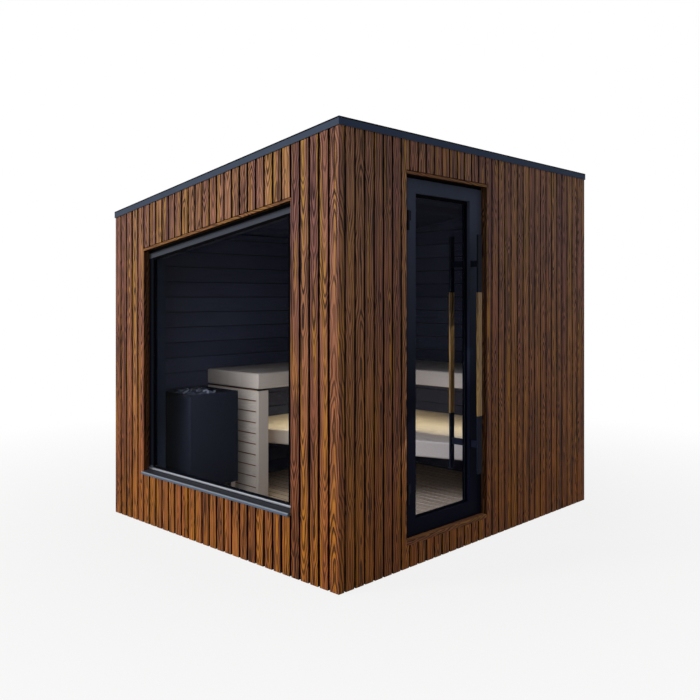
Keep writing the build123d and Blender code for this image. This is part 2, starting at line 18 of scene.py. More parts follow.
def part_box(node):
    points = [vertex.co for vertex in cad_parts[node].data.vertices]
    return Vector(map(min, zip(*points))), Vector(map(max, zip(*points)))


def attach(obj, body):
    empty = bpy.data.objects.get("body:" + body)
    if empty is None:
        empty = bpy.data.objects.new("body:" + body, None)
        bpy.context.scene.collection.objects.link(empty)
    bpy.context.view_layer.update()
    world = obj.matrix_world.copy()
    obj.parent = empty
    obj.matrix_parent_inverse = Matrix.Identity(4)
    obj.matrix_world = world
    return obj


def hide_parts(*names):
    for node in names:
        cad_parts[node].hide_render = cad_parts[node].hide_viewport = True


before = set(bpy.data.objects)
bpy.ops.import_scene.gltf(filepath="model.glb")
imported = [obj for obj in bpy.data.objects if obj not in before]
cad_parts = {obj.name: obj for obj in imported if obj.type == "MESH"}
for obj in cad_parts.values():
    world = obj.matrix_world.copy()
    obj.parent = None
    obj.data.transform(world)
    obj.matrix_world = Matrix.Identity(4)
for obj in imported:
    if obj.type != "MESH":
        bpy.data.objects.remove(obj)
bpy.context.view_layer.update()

log = logging.getLogger("sauna_cabin")

Pair = tuple[float, float]
Triple = tuple[float, float, float]
Outline = Sequence[Pair]
Colour = tuple[float, float, float, float]
Cut = tuple[Vector, Vector]
Level = float | Callable[[float], float]
Mesh = bmesh.types.BMesh
Node = bpy.types.Node
Tree = bpy.types.NodeTree

# Swaps local Y and Z, so that an upright outline lies flat and its depth becomes height
LAID_FLAT = Matrix(((1, 0, 0, 0), (0, 0, 1, 0), (0, 1, 0, 0), (0, 0, 0, 1)))
# Rise of the roof per metre of x, and its top's height at x = 0
ROOF_RISE = (2.368 - 2.058) / 2.16
ROOF_MIDDLE = (2.368 + 2.058) / 2
# How far the window's opening lies under the roof's top
WINDOW_DROP = 0.3365


def linear(code: str) -> Colour:
    """Turn an sRGB hex code into the linear colour that shaders take.

    Args:
        code: Colour as #RRGGBB.

    Returns:
        Linear red, green, blue and an alpha of 1.
    """
    parts = [int(code[start:start + 2], 16) / 255 for start in (1, 3, 5)]
    red, green, blue = (p / 12.92 if p <= 0.04045 else ((p + 0.055) / 1.055) ** 2.4 for p in parts)
    return red, green, blue, 1.0


def add_node(tree: Tree, kind: str, inputs: dict[int | str, Any] | None = None, **settings: Any) -> Node:
    """Add one node with its settings, and set or link its inputs.

    Args:
        tree: Node tree that takes the node.
        kind: Blender's name of the node, without the ShaderNode in front.
        inputs: Socket name or index, with a value, a colour's hex code, or the socket or node to link from.
        settings: Properties of the node.

    Returns:
        The new node.
    """
    made = tree.nodes.new("ShaderNode" + kind)
    for name, value in settings.items():
        setattr(made, name, value)
    for key, value in (inputs or {}).items():
        if isinstance(value, Node):
            value = value.outputs[0]
        if isinstance(value, bpy.types.NodeSocket):
            tree.links.new(value, made.inputs[key])
        else:
            made.inputs[key].default_value = linear(value) if isinstance(value, str) else value
    return made


def number_node(tree: Tree, operation: str, *values: Any) -> Node:
    """Add a Math node."""
    return add_node(tree, "Math", dict(enumerate(values)), operation=operation)


def vector_node(tree: Tree, operation: str, *values: Any) -> Node:
    """Add a Vector Math node."""
    return add_node(tree, "VectorMath", dict(enumerate(values)), operation=operation)


def scaled(tree: Tree, colour: Any, factor: Any) -> Node:
    """Add a node that makes a colour lighter or darker."""
    return add_node(tree, "VectorMath", {0: colour, "Scale": factor}, operation="SCALE")


def remap(tree: Tree, value: Any, low: float, high: float, to_low: float = 0.0, to_high: float = 1.0) -> Node:
    """Add a Map Range node, which never leaves its new range."""
    return add_node(tree, "MapRange", {0: value, 1: low, 2: high, 3: to_low, 4: to_high})


def step(tree: Tree, value: Any, edge: float) -> Node:
    """Add a node that goes from 0 to 1 within a millimetre at an edge."""
    return remap(tree, value, edge - 0.0005, edge + 0.0005)


def mix(tree: Tree, share: Any, first: Any, second: Any) -> bpy.types.NodeSocket:
    """Mix two colours, each given as a hex code, a socket or a node."""
    return add_node(tree, "Mix", {0: share, 6: first, 7: second}, data_type="RGBA").outputs[2]


def noise(tree: Tree, place: Any, scale: float = 1.0, detail: float = 2.0, rough: float = 0.5) -> Node:
    """Add a Noise Texture node."""
    return add_node(tree, "TexNoise", {"Vector": place, "Scale": scale, "Detail": detail, "Roughness": rough})


def object_place(tree: Tree) -> bpy.types.NodeSocket:
    """Give the place on the object."""
    return add_node(tree, "TexCoord").outputs["Object"]


def ramp(tree: Tree, value: Any, stops: Sequence[tuple[float, Colour]]) -> Node:
    """Add a Color Ramp node.

    Args:
        tree: Node tree that takes the node.
        value: What runs along the ramp.
        stops: Position and colour of each stop, from 0 to 1.

    Returns:
        The new node.
    """
    made = add_node(tree, "ValToRGB", {0: value})
    elements = made.color_ramp.elements
    for position, _ in stops[1:-1]:
        elements.new(position)
    for element, (_, colour) in zip(elements, stops):
        element.color = colour
    return made


def grey(level: float) -> Colour:
    """Give a neutral colour of that level."""
    return level, level, level, 1.0


def skin(
    tree: Tree, colour: Any, roughness: Any, specular: float, height: Any, strength: float, relief: float
) -> Node:
    """Add a Principled shader over a fine relief.

    Args:
        tree: Node tree that takes the shader.
        colour: Its base colour.
        roughness: Its roughness.
        specular: Its specular level.
        height: The relief's pattern.
        strength: How strongly the relief turns the light.
        relief: The relief's depth in metres.

    Returns:
        The shader.
    """
    bump = add_node(tree, "Bump", {"Height": height, "Strength": strength, "Distance": relief})
    inputs = {"Base Color": colour, "Roughness": roughness, "Specular IOR Level": specular, "Normal": bump}
    return add_node(tree, "BsdfPrincipled", inputs)


@dataclass(frozen=True)
class Finish:
    """What a surface is made of and how it was worked."""

    name: str

    def material(self) -> bpy.types.Material:
        """Give the finish's node material, built the first time.

        Returns:
            The material.
        """
        made = bpy.data.materials.get(self.name)
        if made is None:
            made = bpy.data.materials.new(self.name)
            made.use_nodes = True
            made.node_tree.nodes.clear()
            add_node(made.node_tree, "OutputMaterial", {"Surface": self.shader(made.node_tree)})
        return made

    def shader(self, tree: Tree) -> Node:
        """Build the finish's shader, which each kind of finish does in its own way."""
        raise NotImplementedError


class GrainFrom(Enum):
    """Where a timber reads its grain: the board's own attribute, or the axis of a CAD node."""

    BOARD = "board"
    X = (1, 2, 0)
    Y = (0, 2, 1)
    Z = (0, 1, 2)


@dataclass(frozen=True)
class Streak:
    """Long streaks of a second wood colour. A higher noise level where they start gives fewer."""

    colour: str
    width: float
    least: float = 0.5

    def over(self, tree: Tree, own: Node, colour: Any) -> bpy.types.NodeSocket:
        """Lay the streaks over a wood's colour.

        Args:
            tree: The wood's node tree.
            own: Place in the board, with the board's own shift.
            colour: The wood's colour.

        Returns:
            The streaked colour.
        """
        across = 1 / self.width
        drawn = vector_node(tree, "MULTIPLY", own, (across, across, across / 50))
        share = remap(tree, noise(tree, drawn, detail=1.0), self.least, self.least + 0.14, 0.0, 0.85)
        return mix(tree, share, colour, self.colour)


@dataclass(frozen=True)
class Timber(Finish):
    """Sawn and planed softwood or hardwood, cut so that its growth rings show as lines and flames.

    The rings are cones round a pith that lies behind the face, so a board cut across them shows
    pointed arches in its middle and straight lines near its edges, as plain-sawn wood does.
    """

    grounds: tuple[str, ...]
    latewood: str
    ring: float = 0.0095
    pith: float = 0.018
    taper: float = 0.12
    contrast: float = 0.8
    fibre: float = 0.22
    fibre_width: float = 0.003
    weakest: float = 0.25
    roughness: float = 0.62
    specular: float = 0.3
    relief: float = 0.0006
    streaks: tuple[Streak, ...] = ()
    foot_tint: str = ""
    # Share of colour left on a board's sides under painted shade, 1 for none
    painted_side_shade: float = 1.0
    lean: float = 0.03
    ragged: float = 0.8
    uneven: float = 0.5
    grain: GrainFrom = GrainFrom.BOARD
    board: float = 0.09
    # Height over which the wood is painted near black, a painted shadow line under a bench's fascia, and that
    # shadow's colour
    painted_shadow_above: float = 0.0
    shadow_paint: str = "#17110C"

    def shader(self, tree: Tree) -> Node:
        """Build the wood: its ground, fibres and streaks, with the growth rings over them.

        Args:
            tree: The wood's node tree.

        Returns:
            The shader.
        """
        place, tone = self.sources(tree)
        pick = add_node(tree, "SeparateColor", {0: tone})
        part = add_node(tree, "SeparateXYZ", {0: place})
        own = vector_node(tree, "ADD", place, vector_node(tree, "MULTIPLY", tone, (3.1, 5.3, 9.7)))
        # Slow waves of 0.25 m across and 0.3 m along bend the rings and swell them into closed ovals
        waves = noise(tree, vector_node(tree, "MULTIPLY", own, (4, 4, 3.2)), rough=0.55)
        wave = add_node(tree, "SeparateColor", {0: waves.outputs["Color"]})
        mask = self.latewood_mask(tree, self.year_count(tree, part, pick, wave, own), pick, wave)

        # Fibres are drawn 3 to 6 mm wide, far coarser than real ones, so that they show at this distance
        fine = 1 / self.fibre_width
        fibres = noise(tree, vector_node(tree, "MULTIPLY", own, (fine, fine, 5)), rough=0.6)
        last = len(self.grounds) - 1
        stops = [(index / last, linear(code)) for index, code in enumerate(self.grounds)]
        shade = remap(tree, fibres, 0.3, 0.7, 1 - self.fibre, 1 + self.fibre)
        colour = scaled(tree, ramp(tree, pick.outputs[1], stops), shade)
        for streak in self.streaks:
            colour = streak.over(tree, own, colour)
        colour = mix(tree, mask, colour, self.latewood)
        if self.foot_tint:
            colour = self.tinted(tree, colour)
        # Painted shadow: near black above that height
        if self.painted_shadow_above:
            colour = mix(tree, step(tree, part.outputs[2], self.painted_shadow_above), colour, self.shadow_paint)
        # Painted shade: the sides of boards behind their faces are darkened, standing in for the dark of
        # grooves and recesses
        if self.painted_side_shade < 1:
            colour = self.paint_side_shade(tree, part.outputs[1], tone.node.outputs["Alpha"], colour)
        rough = remap(tree, fibres, 0.3, 0.7, self.roughness - 0.08, self.roughness + 0.08)
        height = number_node(tree, "MULTIPLY_ADD", fibres, 0.5, mask)
        return skin(tree, colour, rough, self.specular, height, 0.6, self.relief)

    def year_count(self, tree: Tree, part: Node, pick: Node, wave: Node, own: Node) -> Node:
        """Count the growth rings from the pith out to a point.

        Args:
            tree: The wood's node tree.
            part: Place in the board as across, depth and along.
            pick: The board's three random numbers.
            wave: Three slow waves.
            own: Place in the board, with the board's own shift.

        Returns:
            The node that counts them.
        """
        bend = number_node(tree, "MULTIPLY_ADD", wave, 1.6 * self.ring, -0.8 * self.ring)
        lean = number_node(tree, "MULTIPLY_ADD", pick, 2 * self.lean, -self.lean)
        side = number_node(tree, "ADD", number_node(tree, "ADD", part, bend), lean)
        heart = number_node(tree, "MULTIPLY_ADD", pick.outputs[1], 1.6 * self.pith, 0.3 * self.pith)
        back = number_node(tree, "ADD", part.outputs[1], heart)
        radius = vector_node(tree, "LENGTH", add_node(tree, "CombineXYZ", {0: side, 1: back}))
        steep = number_node(tree, "MULTIPLY_ADD", pick.outputs[2], 2 * self.taper, -self.taper)
        cone = number_node(tree, "MULTIPLY_ADD", part.outputs[2], steep, radius.outputs["Value"])
        swell = number_node(tree, "MULTIPLY_ADD", wave.outputs[1], 6.0 * self.ring, cone)
        # Short waves of 17 mm across and 0.12 m along give the rings their ragged outline
        short = noise(tree, vector_node(tree, "MULTIPLY", own, (60, 60, 8)), detail=1.0)
        swell = number_node(tree, "MULTIPLY_ADD", short, self.ragged * self.ring, swell)
        return number_node(tree, "DIVIDE", swell, self.ring)

    def latewood_mask(self, tree: Tree, count: Node, pick: Node, wave: Node) -> Node:
        """Give the share of dark latewood at a point.

        Args:
            tree: The wood's node tree.
            count: The growth rings from the pith.
            pick: The board's three random numbers.
            wave: Three slow waves.

        Returns:
            The node that gives the share.
        """
        rise = ((0.0, 0.2), (0.35, 0.0), (0.62, 0.9), (0.88, 1.0), (1.0, 0.2))
        year = ramp(tree, number_node(tree, "FRACT", count), [(at, grey(level)) for at, level in rise])
        # Each year's latewood is weaker or stronger than the last
        number = number_node(tree, "MULTIPLY_ADD", pick.outputs[1], 97.0, number_node(tree, "FLOOR", count))
        weather = add_node(tree, "TexWhiteNoise", {"W": number}, noise_dimensions="1D")
        late = number_node(tree, "MULTIPLY", year, remap(tree, weather, 0.0, 1.0, 1 - self.uneven))
        # Latewood is strong in some stretches and nearly gone in others
        patch = remap(tree, wave.outputs[2], 0.30, 0.52, self.weakest * self.contrast, self.contrast)
        return number_node(tree, "MULTIPLY", late, patch)

    def tinted(self, tree: Tree, colour: Any) -> Node:
        """Tint the colour warmer towards the foot of the wall.

        Args:
            tree: The wood's node tree.
            colour: The wood's colour.

        Returns:
            The node that gives the tinted colour.
        """
        part = add_node(tree, "SeparateXYZ", {0: object_place(tree)})
        tint = mix(tree, remap(tree, part.outputs[2], 1.9, 0.2), "#FFFFFF", self.foot_tint)
        return vector_node(tree, "MULTIPLY", colour, tint)

    def paint_side_shade(self, tree: Tree, depth: Any, shown: Any, colour: Any) -> Node:
        """Darken the sides of a batten behind its eased edge with painted shade, which stands in for the dark
        of its groove.

        Args:
            tree: The wood's node tree.
            depth: Distance behind the batten's face.
            shown: Least share that stays: 1 on a board whose side takes no painted shade.
            colour: The wood's colour.

        Returns:
            The node that gives the darkened colour.
        """
        share = remap(tree, depth, 0.0006, 0.0025, 1.0, self.painted_side_shade)
        return scaled(tree, colour, number_node(tree, "MAXIMUM", share, shown))

    def sources(self, tree: Tree) -> tuple[bpy.types.NodeSocket, bpy.types.NodeSocket]:
        """Add the nodes that say where a point lies in its board.

        Args:
            tree: The wood's node tree.

        Returns:
            The place as across, depth and along in metres, and the board's tone.
        """
        if self.grain is GrainFrom.BOARD:
            place = add_node(tree, "Attribute", attribute_name="grain")
            tone = add_node(tree, "Attribute", attribute_name="tone")
            return place.outputs["Vector"], tone.outputs["Color"]
        across, depth, along = self.grain.value
        part = add_node(tree, "SeparateXYZ", {0: object_place(tree)})
        count = number_node(tree, "DIVIDE", part.outputs[across], self.board)
        inside = number_node(
            tree, "MULTIPLY_ADD", number_node(tree, "FRACT", count), self.board, -self.board / 2
        )
        place = add_node(tree, "CombineXYZ", {0: inside, 1: part.outputs[depth], 2: part.outputs[along]})
        number = number_node(tree, "FLOOR", count)
        tone = add_node(tree, "TexWhiteNoise", {"W": number}, noise_dimensions="1D")
        return place.outputs[0], tone.outputs["Color"]


@dataclass(frozen=True)
class Fade:
    """A coat's slow or sharp change to another colour along one axis, which the coats below use for painted
    light and shade.
    """

    axis: int
    start: float
    end: float
    colour: str


@dataclass(frozen=True)
class PowderCoat(Finish):
    """Aluminium or steel sheet under a baked powder coat: a matt skin with a fine orange-peel grain.

    Its bands lie parallel to the roof: each goes up from that far under the roof's top.
    """

    colour: str
    worn: str
    roughness: float = 0.45
    specular: float = 0.35
    fades: tuple[Fade, ...] = ()
    bands: tuple[tuple[float, str], ...] = ()
    peel: float = 0.0025
    relief: float = 0.00012

    def shader(self, tree: Tree) -> Node:
        """Build the coat. The peel is drawn 2.5 mm wide, so that it shows.

        Args:
            tree: The coat's node tree.

        Returns:
            The shader.
        """
        place = object_place(tree)
        dust = noise(tree, place, 5.0, 4.0, 0.65)
        colour = mix(tree, remap(tree, dust, 0.35, 0.75), self.colour, self.worn)
        part = add_node(tree, "SeparateXYZ", {0: place})
        for fade in self.fades:
            share = remap(tree, part.outputs[fade.axis], fade.start, fade.end)
            colour = mix(tree, share, colour, fade.colour)
        fall = number_node(tree, "MULTIPLY_ADD", part, -ROOF_RISE, part.outputs[2])
        for drop, code in self.bands:
            colour = mix(tree, step(tree, fall, ROOF_MIDDLE - drop), colour, code)
        rough = remap(tree, dust, 0.3, 0.7, self.roughness - 0.06, self.roughness + 0.06)
        return skin(tree, colour, rough, self.specular, noise(tree, place, 1 / self.peel), 0.5, self.relief)


@dataclass(frozen=True)
class BrushedMetal(Finish):
    """Bare aluminium or steel, brushed along its length: soft streaks in its shine."""

    colour: str
    streaked: str
    roughness: float = 0.32
    brushed_along: Triple = (6.0, 900.0, 900.0)

    def shader(self, tree: Tree) -> Node:
        """Build the metal. Brush lines are drawn 1 mm wide, so that they show.

        Args:
            tree: The metal's node tree.

        Returns:
            The shader.
        """
        drawn = vector_node(tree, "MULTIPLY", object_place(tree), self.brushed_along)
        lines = noise(tree, drawn, detail=3.0)
        colour = mix(tree, lines, self.colour, self.streaked)
        rough = remap(tree, lines, 0.3, 0.7, self.roughness - 0.08, self.roughness + 0.1)
        return add_node(tree, "BsdfPrincipled", {"Base Color": colour, "Roughness": rough, "Metallic": 1.0})


@dataclass(frozen=True)
class CoatedGlass(Finish):
    """Float glass with an anti-reflective coat: clear and dark, with a faint shine at a slant.

    Lamps reach what is behind it, because a Transparent shader takes its place for their rays.
    """

    tint: str
    thick: str
    shade: str = "#F3F4F8"
    ior: float = 1.03

    def shader(self, tree: Tree) -> Node:
        """Build the glass. Its tint varies a little, as a coat's does.

        Args:
            tree: The glass's node tree.

        Returns:
            The shader.
        """
        tint = mix(tree, noise(tree, object_place(tree), 1.5, 1.0), self.tint, self.thick)
        inputs = {"Base Color": tint, "Roughness": 0.0, "IOR": self.ior, "Transmission Weight": 1.0}
        glass = add_node(tree, "BsdfPrincipled", inputs)
        clear = add_node(tree, "BsdfTransparent", {"Color": self.shade})
        ray = add_node(tree, "LightPath").outputs
        lamp = number_node(tree, "MAXIMUM", ray["Is Shadow Ray"], ray["Is Diffuse Ray"])
        return add_node(tree, "MixShader", {0: lamp, 1: glass, 2: clear})


@dataclass(frozen=True)
class Speckled(Finish):
    """Stone, cast or felted surfaces: patches of two colours with grains of a third."""

    colour: str
    patch: str
    grain: str
    patch_size: float
    grain_size: float
    roughness: float = 0.8
    specular: float = 0.3
    relief: float = 0.001

    def shader(self, tree: Tree) -> Node:
        """Build the patches and grains.

        Args:
            tree: The finish's node tree.

        Returns:
            The shader.
        """
        place = object_place(tree)
        clouds = noise(tree, place, 1 / self.patch_size, 5.0, 0.6)
        grains = add_node(tree, "TexVoronoi", {"Vector": place, "Scale": 1 / self.grain_size})
        part = add_node(tree, "SeparateColor", {0: grains.outputs["Color"]})
        base = mix(tree, remap(tree, clouds, 0.42, 0.58), self.colour, self.patch)
        colour = mix(tree, remap(tree, part, 0.72, 0.9, 0.0, 0.7), base, self.grain)
        height = number_node(tree, "MULTIPLY_ADD", grains, 0.4, clouds)
        return skin(tree, colour, self.roughness, self.specular, height, 0.7, self.relief)


@dataclass(frozen=True)
class DiodeStrip(Finish):
    """Silicone profile over a row of warm diodes, 16 mm apart: an even warm white with faint spots."""

    colour: str
    strength: float
    diode: float = 0.016

    def shader(self, tree: Tree) -> Node:
        """Build the strip.

        Args:
            tree: The strip's node tree.

        Returns:
            The shader.
        """
        spots = add_node(tree, "TexVoronoi", {"Vector": object_place(tree), "Scale": 1 / self.diode})
        power = remap(tree, spots, 0.0, 0.8, 1.15 * self.strength, 0.85 * self.strength)
        glow = {"Emission Color": self.colour, "Emission Strength": power}
        return add_node(tree, "BsdfPrincipled", {"Base Color": "#E9E2D2", "Roughness": 0.5, **glow})


# Heat-treated pine, planed and oiled: golden to red-brown boards with near-black latewood flames, and painted
# shade down the battens' sides
BATTEN_PINE = Timber(
    "oiled_thermo_pine",
    ("#B68468", "#96675B", "#AA7562", "#8A5F57", "#BA8763", "#95655D"),
    "#1C1115",
    ring=0.014,
    pith=0.006,
    taper=0.16,
    contrast=1.0,
    fibre=0.34,
    fibre_width=0.006,
    weakest=0.36,
    specular=0.12,
    streaks=(Streak("#BC8C42", 0.017, 0.52), Streak("#1A0F14", 0.010, 0.55)),
    foot_tint="#FFDC97",
    painted_side_shade=0.02,
    lean=0.014,
    ragged=0.5,
    uneven=0.3,
)
# The same pine on the boards that line the openings, with painted shade on their sides and on the heads'
# undersides
REVEAL_PINE = Timber(
    "oiled_thermo_pine_reveal",
    ("#96684A", "#8C5C42", "#9A6D45"),
    "#24151A",
    ring=0.012,
    pith=0.006,
    taper=0.2,
    contrast=1.0,
    weakest=0.6,
    fibre=0.35,
    fibre_width=0.006,
    specular=0.04,
    streaks=(Streak("#A87A44", 0.017),),
    painted_side_shade=0.03,
    ragged=1.6,
)
# Spruce boards stained blue-black: only a hint of the grain and the joints between boards
LINING_SPRUCE = Timber(
    "black_stained_spruce",
    ("#3D4055", "#42465B", "#393C50", "#404458"),
    "#2A2C38",
    ring=0.006,
    contrast=0.5,
    fibre=0.1,
    roughness=0.7,
    specular=0.01,
)
# Aspen, planed and sanded: pale grey-beige with a fine, quiet grain
ASPEN = ("#CDC2B8", "#D2C7BC", "#C8BDB2", "#D0C5BA")
SLAT_ASPEN = Timber(
    "planed_aspen",
    ASPEN,
    "#A2958A",
    ring=0.004,
    pith=0.03,
    taper=0.03,
    contrast=0.4,
    fibre=0.07,
    roughness=0.5,
)
# The same aspen on the duckboard, trodden: browner, with painted shade down its sides
FLOOR_ASPEN = replace(
    SLAT_ASPEN,
    name="trodden_aspen",
    grounds=("#CAB59E", "#D1BDA8", "#C1AC96"),
    latewood="#8E7A68",
    fibre=0.1,
    roughness=0.55,
    painted_side_shade=0.4,
)
# The same aspen behind the slots of the bench's end, toned brown by heat
HEATED_ASPEN = Timber("heat_toned_aspen", ("#7A5236", "#835A3C"), "#5A3A24", contrast=0.4, roughness=0.6)
# Oak, planed and oiled: yellow-brown with dark open pores
GRIP_OAK = Timber(
    "oiled_oak",
    ("#A3824A", "#946F40", "#AF8E54"),
    "#2E2012",
    ring=0.012,
    pith=0.01,
    taper=0.06,
    contrast=0.9,
    fibre=0.35,
    fibre_width=0.006,
    roughness=0.5,
    grain=GrainFrom.Z,
    board=0.3,
)
# Birch plywood and green treated pine, sawn, hidden under the floor
DECK_PLYWOOD = Timber(
    "birch_plywood",
    ("#9C8463", "#A18A6A"),
    "#7C6648",
    ring=0.02,
    pith=0.1,
    contrast=0.3,
    grain=GrainFrom.X,
    board=1.2,
)
BEARER_PINE = Timber(
    "treated_sawn_pine",
    ("#6E6648", "#777050"),
    "#4C4630",
    contrast=0.5,
    roughness=0.8,
    grain=GrainFrom.Y,
    board=0.5,
)
# Black felt and wind cloth behind the battens: matt, with a faint nap
WIND_CLOTH = Speckled(
    "black_wind_cloth", "#0B0908", "#100D0B", "#171310", 0.05, 0.004, roughness=0.95, specular=0.05
)
# Bitumen felt with mineral chippings: dark grey and coarse
ROOF_FELT = Speckled(
    "bitumen_felt", "#2A2C30", "#34373B", "#5A5E63", 0.25, 0.006, roughness=0.92, specular=0.2
)
# Olivine stones, broken: blue-grey with pale crystals, in dark and light patches that are partly the stone's
# tone and partly painted light and shade on its facets
OLIVINE = Speckled("olivine_stone", "#191C24", "#4C5364", "#A9B1C4", 0.06, 0.024, roughness=0.6, specular=0.2)
# EPDM rubber, extruded: dull black
GASKET_RUBBER = Speckled(
    "epdm_rubber", "#050506", "#08080A", "#0C0C0E", 0.02, 0.002, roughness=0.75, specular=0.02, relief=0.0001
)
# Heat-proof black enamel on steel, sprayed and baked: near black on the face turned to the window, with
# painted light lightening it towards its lit corner, and a painted lighter grey-blue on the other faces
HEATER_ENAMEL = PowderCoat(
    "heat_proof_enamel",
    "#030408",
    "#04050A",
    roughness=0.6,
    specular=0.0,
    fades=(Fade(0, -0.84, -0.46, "#171A22"), Fade(1, -1.084, -1.078, "#1D202A")),
)
# Anthracite powder coat on folded aluminium: slate grey-blue, matt, with painted shade making the door side
# darker and bluer, and a near-black band along the top edge
FOLDED_ALUMINIUM = PowderCoat(
    "anthracite_powder_coat",
    "#434C5D",
    "#4A5464",
    roughness=0.5,
    specular=0.03,
    fades=(Fade(0, 1.0815, 1.0825, "#3B4963"),),
    bands=((0.008, "#07080C"),),
)
# The same coat on the window's sill: dark grey on top, with a painted highlight along the front edge and
# painted bluish sky light on the lip's face
SILL_ALUMINIUM = PowderCoat(
    "sill_powder_coat",
    "#2B2D34",
    "#33353B",
    specular=0.1,
    fades=(Fade(1, -1.276, -1.278, "#8A9098"), Fade(2, 0.3325, 0.3315, "#56677C")),
)
# The same coat on the window's frame, with light and shade painted in: near black as painted shade, lighter
# blue-grey towards the room and along the foot, a painted lit grey band on the head's face, and a painted
# black shadow line above that band
WINDOW_ALUMINIUM = PowderCoat(
    "window_powder_coat",
    "#10131B",
    "#131720",
    specular=0.03,
    fades=(Fade(1, -1.195, -1.190, "#333B4C"), Fade(2, 0.372, 0.371, "#3A3F4B")),
    bands=((WINDOW_DROP + 0.0502, "#4A4D56"), (WINDOW_DROP + 0.016, "#030304")),
)
# The same coat on the door's extrusions, darker towards the foot as a painted reflection of the bright sky
# above and the dark ground below, with a painted black shadow at the head
FRAME_ALUMINIUM = PowderCoat(
    "dark_powder_coat",
    "#464D5F",
    "#4B5265",
    roughness=0.5,
    specular=0.01,
    fades=(Fade(2, 2.0, 0.9, "#131522"), Fade(2, 2.1298, 2.1306, "#020203")),
)
# Black powder coat on the pull bars and hinges
BLACK_STEEL = PowderCoat("black_powder_coat", "#1E212C", "#222530", roughness=0.5, specular=0.02)
# Warm-edge spacer between the panes: roll-formed steel under a black foil
WARM_EDGE = PowderCoat("warm_edge_foil", "#0E1118", "#12151D", roughness=0.6, specular=0.03)
# Bare extruded aluminium, brushed: glazing bead
BARE_ALUMINIUM = BrushedMetal("brushed_aluminium", "#D6D8E0", "#BFC2CC", roughness=0.38)
# Zinc-plated steel feet under the heater
PLATED_STEEL = BrushedMetal("zinc_plated_steel", "#B9BCC0", "#A3A6AB", brushed_along=(400.0, 400.0, 8.0))
# Clear float glass with a coat, and the silicone profile of the strips under the bench
PANE = CoatedGlass("coated_float_glass", "#FAFBFD", "#F7F9FC")
WARM_STRIP = DiodeStrip("warm_diode_strip", "#FFF3C8", 8.0)


def aspen_boards(name: str, grain: GrainFrom, painted_shadow_above: float = 0.0) -> Timber:
    """Give the benches' aspen for a CAD node whose boards run along one axis.

    Args:
        name: Name of the material.
        grain: Axis along which the boards run.
        painted_shadow_above: Height over which an upright board is painted near black as the shadow under a
            fascia, or 0.

    Returns:
        The finish.
    """
    return replace(
        SLAT_ASPEN,
        name=name,
        ring=0.005,
        pith=0.05,
        contrast=0.35,
        fibre=0.06,
        grain=grain,
        board=0.14,
        painted_shadow_above=painted_shadow_above,
    )


class Side(Enum):
    """The four walls, with the turn in degrees that brings an outline from the window wall to each."""

    WINDOW = 0.0
    DOOR = 90.0
    LEFT = -90.0
    BACK = 180.0

    @property
    def turn(self) -> Matrix:
        """Give the wall's turn about the cabin's upright axis."""
        return Matrix.Rotation(math.radians(self.value), 4, "Z")


class Grain(Enum):
    """Which way the grain runs in a board's outline, as the order of across, depth and along."""

    UPRIGHT = (0, 1, 2)
    LEVEL = (2, 1, 0)
    DEEP = (0, 2, 1)


def level_at(level: Level, across: float) -> float:
    """Give the height of a level or sloping line at a place across."""
    return level(across) if callable(level) else level


def panel(start: float, end: float, foot: Level, head: Level) -> Outline:
    """Give the outline between two upright edges, whose foot and head may slope.

    Args:
        start: Its first edge.
        end: Its second edge.
        foot: Its lower line.
        head: Its upper line.

    Returns:
        The outline's corners.
    """
    left, right = ((at, level_at(foot, at), level_at(head, at)) for at in (start, end))
    return (left[0], left[1]), (right[0], right[1]), (right[0], right[2]), (left[0], left[2])


def notched(outer: float, inner: float, edge: float, low: float, high: Level, top: Level) -> Outline:
    """Give the outline of a batten beside an opening, which changes its width along it.

    Args:
        outer: The batten's edge away from the opening.
        inner: Its other edge, over and under the opening.
        edge: Where it ends along the opening.
        low: The opening's foot.
        high: The opening's head.
        top: The batten's top.

    Returns:
        The outline's corners.
    """
    return (
        (outer, 0.0),
        (inner, 0.0),
        (inner, low),
        (edge, low),
        (edge, level_at(high, edge)),
        (inner, level_at(high, inner)),
        (inner, level_at(top, inner)),
        (outer, level_at(top, outer)),
    )


def push(mesh: Mesh, depth: float) -> None:
    """Give a flat mesh a depth along its local Y.

    Args:
        mesh: The flat mesh.
        depth: How far its copy is pushed.
    """
    pushed = bmesh.ops.extrude_face_region(mesh, geom=mesh.faces[:])
    moved = [part for part in pushed["geom"] if isinstance(part, bmesh.types.BMVert)]
    bmesh.ops.translate(mesh, verts=moved, vec=(0, depth, 0))


def ease(mesh: Mesh, edges: Sequence[Any], width: float, segments: int = 2, clamped: bool = False) -> None:
    """Ease edges with a narrow bevel.

    Args:
        mesh: The mesh.
        edges: Its edges that are eased.
        width: The bevel's width.
        segments: Its number of faces.
        clamped: Whether it stays inside small faces.
    """
    bmesh.ops.bevel(
        mesh,
        geom=edges,
        offset=width,
        segments=segments,
        profile=0.5,
        affect="EDGES",
        material=-1,
        clamp_overlap=clamped,
    )


def absorb(whole: Mesh, part: Mesh) -> None:
    """Join a part into a mesh and free the part.

    Args:
        whole: Takes the part.
        part: The part.
    """
    joined = bpy.data.meshes.new("part")
    part.to_mesh(joined)
    part.free()
    whole.from_mesh(joined)
    bpy.data.meshes.remove(joined)


def add_object(data: bpy.types.ID) -> bpy.types.Object:
    """Put a mesh, lamp or camera in the scene under its own name.

    Args:
        data: The mesh, lamp or camera.

    Returns:
        The new object.
    """
    made = bpy.data.objects.new(data.name, data)
    bpy.context.scene.collection.objects.link(made)
    return made


